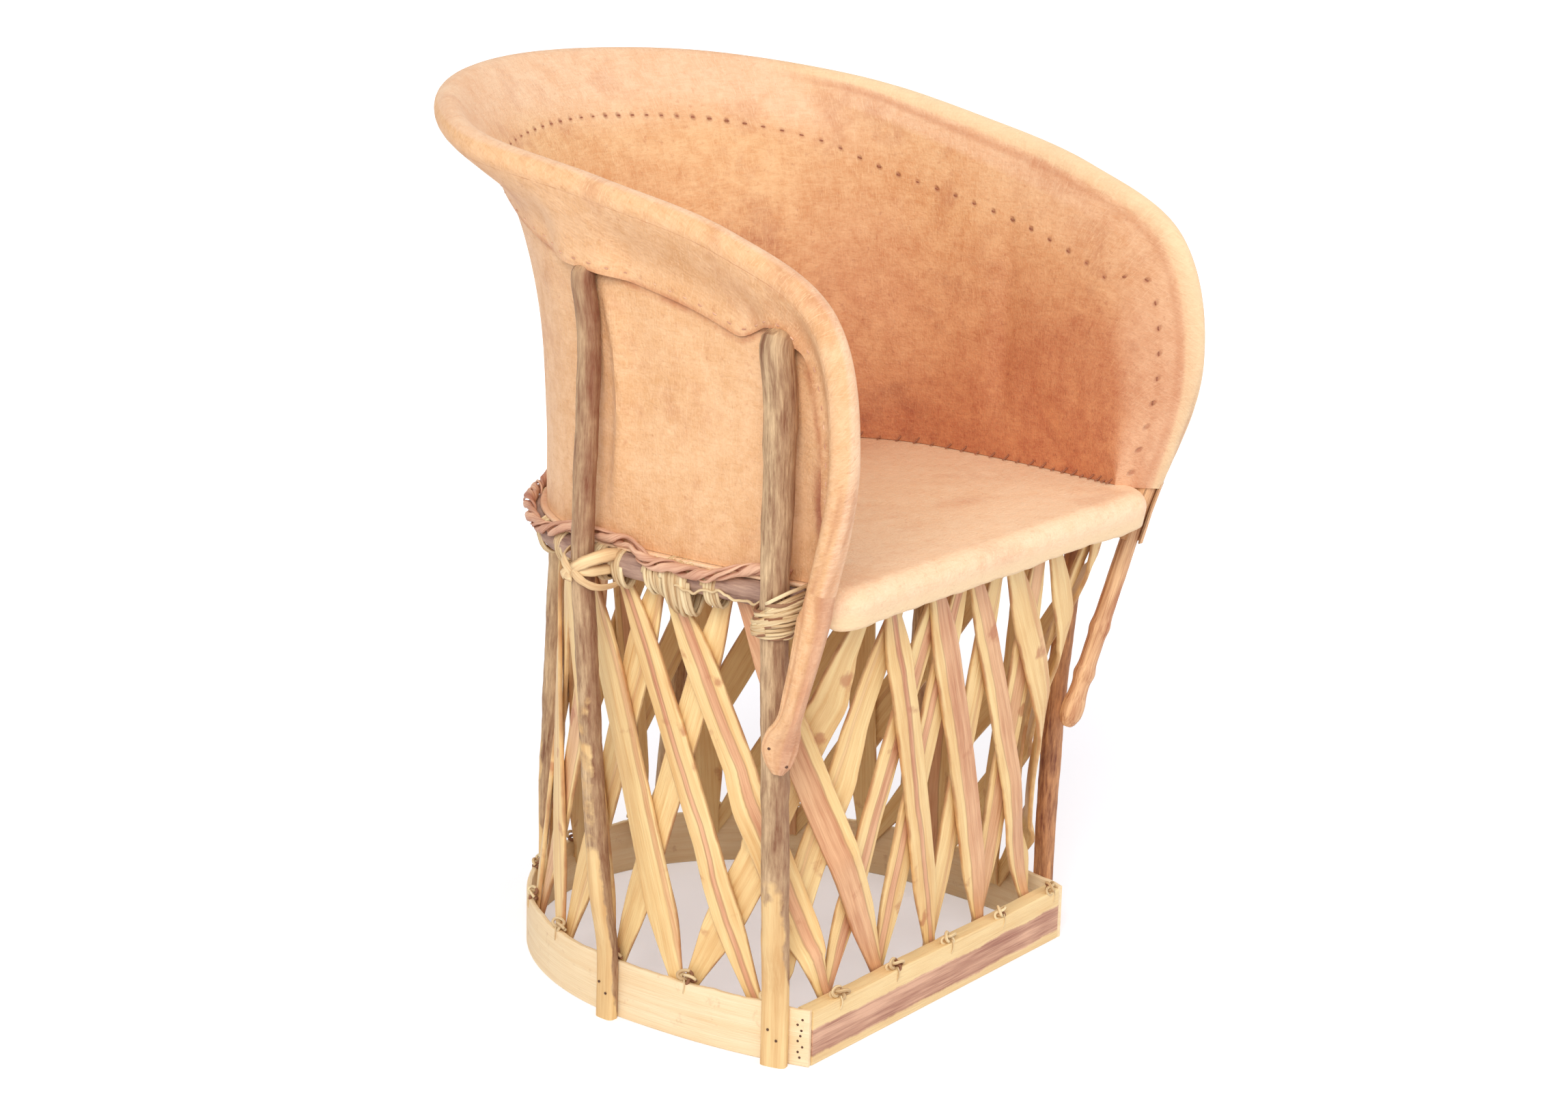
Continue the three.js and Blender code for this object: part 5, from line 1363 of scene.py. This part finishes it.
for i in range(slat_pairs):
    foot = first_foot + 2 * (i if i < 9 else i - slat_pairs) / slat_pairs
    for layer, tops, hearts in ((1, outer_tops, outer_hearts), (-1, inner_tops, inner_hearts)):
        number = i if layer > 0 else i + slat_pairs
        top = tops[i] + 2 * round((foot - tops[i]) / 2)
        share = foot + (top - foot) * t
        line = barrel_at(share, t)
        across = barrel_at(share + 0.01, t) - barrel_at(share - 0.01, t)
        ahead_t, back_t = np.minimum(t + 0.01, 1), np.maximum(t - 0.01, 0)
        way = unit(barrel_at(foot + (top - foot) * ahead_t, ahead_t)
                   - barrel_at(foot + (top - foot) * back_t, back_t))
        out = unit(np.cross(across, way))
        side = unit(np.cross(way, out))
        bent = share - 2 * np.round(share / 2)
        cornering = np.exp(-((np.abs(bent) - corner_middle) / 0.1) ** 2)
        opening = (layers_apart - gap + corner_opening * cornering) / 2 * np.sin(np.pi * t)
        middle = line + out * (layer * ((slat_thickness + gap) / 2 + opening))[:, None]
        widen = eased(np.minimum(t, 1 - t), 0, 0.22)
        full = slat_width * (1 + 0.12 * math.sin(number * 2.4))
        half = (slat_tip + (full - slat_tip) * widen) / 2
        half = half * (1 + 0.012 * waver(t * 7, 100 + number))
        middle = middle + side * (0.0004 * waver(t * 7, 200 + number) * np.sin(np.pi * t))[:, None]
        thick = slat_thickness / 2 * (1 + 0.08 * waver(t * 13, 300 + number)) * (
            0.8 + 0.2 * np.sqrt(np.clip(np.minimum(t, 1 - t) / 0.03, 0, 1)))
        section = rounded_bar(half, thick, np.minimum(thick * 0.95, 0.0016)[:, None])
        heart = hearts.get(i, ((-1) ** number * 0.006, 0.0015, 0.35 * (number % 3 == 0)))
        slot = "cedar_red" if i % 3 == (1 if layer > 0 else 2) else "cedar_pale"
        kind = "outer" if layer > 0 else "inner"
        bar_piece(f"{kind}_cedar_slat_{i + 1:02d}", middle, side, out, section, slat_finish, slot,
                  [f"{kind}_slat_{i + 1:02d}"], seed=number, half=half[:, None],
                  heart=np.broadcast_to(heart, (slat_steps, 16, 3)))
        slat_tops.append((bent[-1], layer))
    slat_feet.append(foot)


# Post bindings
# Under the seat plant fibre is wound slantwise round each front post and the hoop behind it, and
# three flat straps of inner bark are swept round each of the other posts and the hoop.

fibre_finish, tree, shader = new_finish("Dry plant fibre")
mark, grain = wood_grain(tree, srgb(242, 220, 174), srgb(180, 136, 88), 0.8)
# Some strands of the front bindings are darker fibre, and one side of each foot knot is painted darker
# as shade.
burnt = mark_of(tree, "burnt")
coated(tree, shader, mixed(tree, burnt, grain.outputs["Color"], srgb(132, 78, 50)), 0.8,
       grain.outputs["Height"], 0.0006)

strap_finish, tree, shader = new_finish("Inner bark strap")
mark, grain = wood_grain(tree, srgb(248, 216, 164), srgb(196, 144, 96), 0.7)
coated(tree, shader, grain.outputs["Color"], 0.7, grain.outputs["Height"], 0.0008)


def crossing_loop(post, wide, rise, turns, drift, seed):
    """Turns round a post and the hoop on a slant: middle + depth * C * out + S * (wide * along +
    rise * up), where C and S are cos and sin to the power 0.75, middle is that of the two and depth
    is half of both together. Gives the line and its way outwards."""
    stem = lower_post(post, hoop_height)
    branch = place_on(hoop, post["seat"], 0.0, hoop_height)
    apart = float(np.linalg.norm(stem - branch))
    out = unit(stem - branch)
    middle = branch + out * (apart + post["radius"] - hoop_radius) / 2
    depth = (apart + post["radius"] + hoop_radius) / 2
    along = np.cross([0, 0, 1.0], out)
    a = np.linspace(0, 2 * np.pi * turns, int(46 * turns))
    c, d = (np.sign(f) * np.abs(f) ** 0.75 for f in (np.cos(a), np.sin(a)))
    uneven = 0.0008 * waver(a * 0.9, seed)
    around = out * ((depth + 0.0015) * c + uneven)[:, None] + d[:, None] * (
        along * (wide + uneven)[:, None] + np.array([0, 0, rise]))
    drift = np.asarray(drift, float) * (a / a[-1] - 0.5)[:, None]
    return middle + around + drift, unit(around)


slanting_strands, level_strands = 11, 4
for end in ("near", "far"):
    post = posts["front_post_" + end]
    draw = np.random.default_rng(90)
    parts = []
    for strand in range(slanting_strands):
        line, away = crossing_loop(post, draw.uniform(0.0165, 0.0205), draw.uniform(0.003, 0.014),
                                   2.0, [0, 0, -0.012], 400 + strand)
        line[:, 2] -= 0.009 + draw.uniform(-0.008, 0.006)
        parts.append(tube(line, draw.uniform(0.0009, 0.0016), 6, away, 1.3))
    for strand in range(level_strands):
        a = np.linspace(0, 2 * np.pi * 3, 84)
        height = hoop_height - 0.0135 - 0.010 * a / a[-1] + 0.003 * np.sin(a + strand)
        away = np.stack([np.cos(a), np.sin(a), 0 * a], 1)
        reach = post["radius"] + 0.002 + 0.0006 * strand + 0.0005 * waver(a, 420 + strand)
        parts.append(tube(lower_post(post, height) + away * reach[:, None], 0.0012, 6, away))
    shade = np.repeat([0.85 * (k % 5 == 2) for k in range(len(parts))],
                      [part.shape[0] * part.shape[1] for part in parts])
    wound_piece(f"front_binding_{end}", parts, fibre_finish, "plant_fibre",
                [f"front_lashing_{end}"], burnt=shade)

for name in ("side", "rear"):
    for end in ("near", "far"):
        post = posts[f"{name}_post_{end}"]
        parts = []
        for k, (wide, rise, thick) in enumerate(((0.0225, 0.013, 0.0014), (0.0205, -0.014, 0.0013),
                                                 (0.018, 0.002, 0.0013))):
            line, away = crossing_loop(post, wide, rise, 1.0, [0, 0, -0.002 * k], 430 + k)
            line[:, 2] -= 0.003 + 0.002 * k
            swell = 1 + 0.25 * waver(np.linspace(0, 9, len(line)), 440 + k)
            parts.append(tube(line, thick * swell, 8, away, 3.6))
        wound_piece(f"{name}_binding_{end}", parts, strap_finish, "bark_strap",
                    [f"{name}_strap_{end}"])


# Ties at the hoop
# Where slat tips meet the hoop, a bundle of fibre is wound round tip and hoop and pulled tight.

fibre_width = 0.0019
parts = []
draw = np.random.default_rng(7)
# Each tie's place on the hoop, its turns, how far it hangs, and how loosely it is wound.
ties = [(round(float(s), 3), 4, 1.35, 0.0012) for s, layer in slat_tops
        if layer > 0 and not -0.53 < s < -0.4]
ties += [(-0.498, 6, 1.5, 0.0022), (-0.467, 9, 2.1, 0.0028), (-0.424, 5, 1.5, 0.0016),
         (-0.547, 4, 1.5, 0.0016)]
for number, (at, loops, hanging, loose) in enumerate(ties):
    hidden = abs(at) < 0.3
    a = np.linspace(0, 2 * np.pi * loops, loops * 22)
    wide = fibre_width * loops
    slide = (a / a[-1] - 0.5) * wide * 1.6 + draw.uniform(-0.002, 0.002) * np.sin(a * 0.5)
    reach = hoop_radius + (-0.0006 if hidden else loose) + 0.0008 * waver(a * 0.6, 500 + number)
    drop = 1 + (hanging - 1) * np.clip(-np.sin(a), 0, 1) * (not hidden) * (
        1 + 0.25 * waver(a * 0.3, 530 + number))
    _, out = walk(hoop, at + slide / hoop_length)
    line = place_on(hoop, at + slide / hoop_length, reach * np.cos(a) - 0.002,
                    hoop_height + reach * drop * np.sin(a) * 1.02)
    away = unit(np.stack([out[:, 0] * np.cos(a), out[:, 1] * np.cos(a), np.sin(a)], 1))
    parts.append(tube(line, 0.0012 + 0.0004 * (number % 2), 6, away, 1.5))
strand_shares = np.linspace(-0.465, -0.36, 60)
line = place_on(hoop, strand_shares, hoop_radius + 0.0015 + 0.001 * waver(strand_shares * 90, 540),
                hoop_height - 0.004 + 0.003 * waver(strand_shares * 70, 541))
parts.append(tube(line, 0.0012, 6, [0, 0, 1.0], 1.4))
wound_piece("hoop_ties", parts, fibre_finish, "plant_fibre")


# Ties at the base
# Each pair of slat feet is held by a knot of fibre over the top edge, with a thread down to a small
# hole in the strip or the board.

knot_inwards, knot_over, thread_drop = 0.004, 0.003, 0.014
big, small = 0.0050, 0.0023              # the knot's round, and the swing of its strand
parts, knot_shade = [], []
for number, foot in enumerate(slat_feet):
    place, out3, side3 = stance(base, foot)
    at_board = abs(foot - 2 * round(foot / 2)) < corner_share
    top_of = board_height if at_board else strip_height
    heart = np.array([*place, top_of]) - out3 * knot_inwards + [0, 0, knot_over]
    a = np.linspace(0, 2 * np.pi, 90)
    knot = heart + (np.outer((big + small * np.cos(3 * a)) * np.cos(2 * a), side3 * 1.3)
                    + np.outer((big + small * np.cos(3 * a)) * np.sin(2 * a), [0, 0, 0.8])
                    + np.outer(small * np.sin(3 * a) * 1.4, out3))
    parts.append(tube(knot[:-1], 0.0015, 6, out3))
    # One side of each knot is painted darker as shade.
    left = ((parts[-1] - heart) @ side3 > 0.0015) & (np.arange(len(knot) - 1)[:, None] % 60 > 8)
    knot_shade += [left.ravel() * (0.9 if number % 4 else 0.2), np.zeros(72)]
    drop = np.linspace(0, 1, 12)[:, None]
    thread = heart + out3 * (0.0036 + 0.0012 * np.sin(np.pi * drop)) + [0, 0, -0.001] \
        - np.array([0, 0, thread_drop]) * drop + side3 * 0.001 * np.sin(4 * drop)
    thread[-1] -= out3 * 0.002
    parts.append(tube(thread, 0.0007, 6, out3))
wound_piece("foot_ties", parts, fibre_finish, "plant_fibre", burnt=np.concatenate(knot_shade))


# Nails
# Small blackened iron nails with domed heads: two through each post's foot into the strip, eight
# through each end of the strip into the board, and two through the near sleeve's flap.

iron_finish, tree, shader = new_finish("Blackened iron")
rust = noise(tree, object_place(tree), 900.0, 4.0)
tree.links.new(ramp(tree, rust, [(0.35, srgb(58, 40, 32)), (0.65, srgb(112, 74, 52))]),
               shader.inputs["Base Color"])
shader.inputs["Roughness"].default_value = 0.6
shader.inputs["Metallic"].default_value = 0.3


def nail(at, out, radius=0.0013):
    """A domed head: rings of radius r * cos b at height r * sin b * 0.5, on a shank into the wood."""
    out = unit(np.asarray(out, float))
    side = unit(np.cross(out, [0.2, 0.3, 0.93]))
    other = np.cross(out, side)
    b = np.array([0, 0, 0.5, 1.0, 1.45])
    rise = np.array([-0.002, 0, *(np.sin(b[2:]) * 0.5 * radius)])
    wide = np.array([0.5, 1, *np.cos(b[2:])]) * radius
    a = np.linspace(0, 2 * np.pi, 10, endpoint=False)[None, :, None]
    return (np.asarray(at) + rise[:, None] * out)[:, None] + wide[:, None, None] * (
        np.cos(a) * side + np.sin(a) * other)


heads = []
end_nails, from_corner, lowest, apart = 8, 0.0085, 0.008, 0.005
for end in (-1, 1):
    for k in range(end_nails):
        share = end * (corner_share + (from_corner + 0.0024 * math.sin(2.4 * k)) / base_length)
        at = place_on(base, share, 0.0, lowest + apart * k)
        heads.append(nail(at, stance(base, share)[1], 0.0012))
foot_nails = ((-0.004, 0.034), (0.004, 0.025))      # sideways and up
for post in posts.values():
    place, out3, side3 = stance(base, post["foot"])
    for slide, height in foot_nails:
        heads.append(nail(np.array([*place, height]) + out3 * (gap + foot_thickness)
                          + side3 * slide, out3))
flap_nails = ((111, 0.75), (122, -0.8))             # down the sleeve, and the turn across it
for station, turned in flap_nails:
    spot = flap_grid[int(np.argmin(np.abs(flap_turns - turned))), station]
    away = flap_outs[station]
    heads.append(nail(spot + away * leather_thickness * 0.4, away, 0.0015))
wound_piece("small_nails", heads, iron_finish, "iron")


# Stitches
# The hem's seam runs round the back and down both arm fronts, with short stitches of dark waxed thread
# inside and of light leather outside. The foot of the back is oversewn to the seat in waxed thread.

thread_finish, tree, shader = new_finish("Dark waxed thread")
wax = noise(tree, object_place(tree), 1200.0, 3.0)
tree.links.new(ramp(tree, wax, [(0.3, srgb(124, 70, 48)), (0.7, srgb(176, 112, 78))]),
               shader.inputs["Base Color"])
shader.inputs["Roughness"].default_value = 0.55

inner_half, outer_half = 0.0018, 0.0024  # half the length of a stitch
inner_parts, outer_parts = [], []
bow = np.linspace(-1, 1, 7)[:, None]
for k in range(2, int(seam_count[-1]) - 2):
    at = np.interp(k + 0.5, seam_count, seam_run)
    spot, out, side = (read_line(at, seam_run, line)
                       for line in (seam_spots, seam_outs, seam_sides))
    here = np.interp(at, seam_run, seam_q)
    depth = float(hem_width(here)) - seam_inset
    bulge = float(side_folds(here, 1 - depth / hide_rise))
    lift = leather_thickness * 1.5 + gap + float(hem_lift(here, depth))
    inner_parts.append(tube(spot + out * (bulge - leather_thickness / 2 - 0.0002
                                          + 0.0009 * bow ** 2) + side * inner_half * bow,
                            0.0008, 6, out))
    outer_parts.append(tube(spot + out * (bulge + lift + 0.0001 - 0.0008 * bow ** 2)
                            + side * outer_half * bow, 0.0007, 6, out))
wound_piece("inner_hem_stitches", inner_parts, thread_finish, "lace_leather")
wound_piece("outer_hem_stitches", outer_parts, lace_finish, "lace_leather")

parts = []
seam_q = np.linspace(0.02, 0.98, 64)
foot = leather_foot(seam_q)
outs = hide_out(seam_q, np.full(seam_q.shape, 0.03))
for k in range(len(seam_q)):
    along = unit(np.cross(outs[k], [0, 0, 1.0]))
    a = np.linspace(0.1, np.pi * (0.4 + 0.12 * math.sin(k * 2.1)), 8)[:, None]
    line = foot[k] - outs[k] * (leather_thickness / 2 + 0.0003 + 0.005 * (1 - np.sin(a))) \
        + [0, 0, 0.0006] + np.array([0, 0, 0.005]) * (1 - np.cos(a)) + along * 0.003 * (a - 0.9)
    parts.append(tube(line, 0.0008, 6, outs[k]))
wound_piece("seat_seam_stitches", parts, thread_finish, "lace_leather")


# The room
# A white floor under soft studio light: one broad lamp in front on the left, a weaker one on the
# right and an even white sky. For the camera the floor is topped up to white and keeps the shadow.

floor_mesh = bpy.data.meshes.new("studio_floor")
far = 40.0
floor_mesh.from_pydata([(-far, -far, 0), (far, -far, 0), (far, far, 0), (-far, far, 0)], [],
                       [(0, 1, 2, 3)])
floor = bpy.data.objects.new("studio_floor", floor_mesh)
bpy.context.scene.collection.objects.link(floor)
floor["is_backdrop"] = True


def seen_rays(tree):
    """1 for the camera's rays and those mirrored or let through on their way, 0 for all others."""
    rays = add_node(tree, "ShaderNodeLightPath").outputs
    return sums(tree, "MAXIMUM", rays["Is Camera Ray"], sums(
        tree, "MAXIMUM", rays["Is Glossy Ray"], rays["Is Transmission Ray"]))


floor_finish, tree, shader = new_finish("Studio floor")
shader.inputs["Base Color"].default_value = (0.81, 0.79, 0.83, 1)
shader.inputs["Roughness"].default_value = 0.9
shader.inputs["Specular IOR Level"].default_value = 0.1
shader.inputs["Emission Color"].default_value = (1, 1, 1, 1)
seen = seen_rays(tree)
from_chair = add_node(tree, "ShaderNodeVectorMath", operation="LENGTH",
                      i0=object_place(tree)).outputs["Value"]
top_up = fade(tree, from_chair, 0.5, 2.2, 0.8, 0.34)
tree.links.new(sums(tree, "MULTIPLY", seen, top_up), shader.inputs["Emission Strength"])
floor_mesh.materials.append(floor_finish)

world = bpy.data.worlds.new("Studio sky")
bpy.context.scene.world = world
world.use_nodes = True
tree = world.node_tree
seen = seen_rays(tree)
sky = tree.nodes["Background"]
sky.inputs["Color"].default_value = (1, 1, 1, 1)
tree.links.new(sums(tree, "MULTIPLY_ADD", seen, 0.35, 0.65), sky.inputs["Strength"])

lamp_aim = [0, 0, 0.45]
for name, place, size, power in (("Broad lamp", (-3.8, -2.1, 3.0), 2.3, 152.0),
                                 ("Weak lamp", (2.2, -3.0, 2.6), 2.4, 42.0)):
    lamp = bpy.data.lights.new(name, "AREA")
    lamp.shape, lamp.size, lamp.energy = "SQUARE", size, power
    stand = bpy.data.objects.new(name, lamp)
    bpy.context.scene.collection.objects.link(stand)
    aim = np.array(lamp_aim) - place
    x_axis = unit(np.cross(aim, [0, 0, 1.0]))
    y_axis = unit(np.cross(x_axis, aim))
    turn = np.eye(4)
    turn[:3, 0], turn[:3, 1], turn[:3, 2], turn[:3, 3] = x_axis, y_axis, -unit(aim), place
    stand.matrix_world = Matrix(turn.tolist())

# The camera stands where the photograph was taken from, and is tilted as it was.
azimuth, elevation, roll = math.radians(-52.5), math.radians(15.3), math.radians(1.4)
back = np.array([math.sin(azimuth) * math.cos(elevation), -math.cos(azimuth) * math.cos(elevation),
                 math.sin(elevation)])
right = unit(np.cross(-back, [0, 0, 1.0]))
up = np.cross(right, -back)
turn = np.eye(4)
turn[:3, 0] = right * math.cos(roll) + up * math.sin(roll)
turn[:3, 1] = up * math.cos(roll) - right * math.sin(roll)
turn[:3, 2] = back
turn[:3, 3] = -2.2163, -1.7208, 1.1476
lens = bpy.data.cameras.new("Camera")
lens.lens, lens.sensor_width = 73.53, 36.0
camera = bpy.data.objects.new("Camera", lens)
bpy.context.scene.collection.objects.link(camera)
camera.matrix_world = Matrix(turn.tolist())
bpy.context.scene.camera = camera
bpy.context.scene.view_settings.view_transform = "Standard"

low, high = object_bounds()
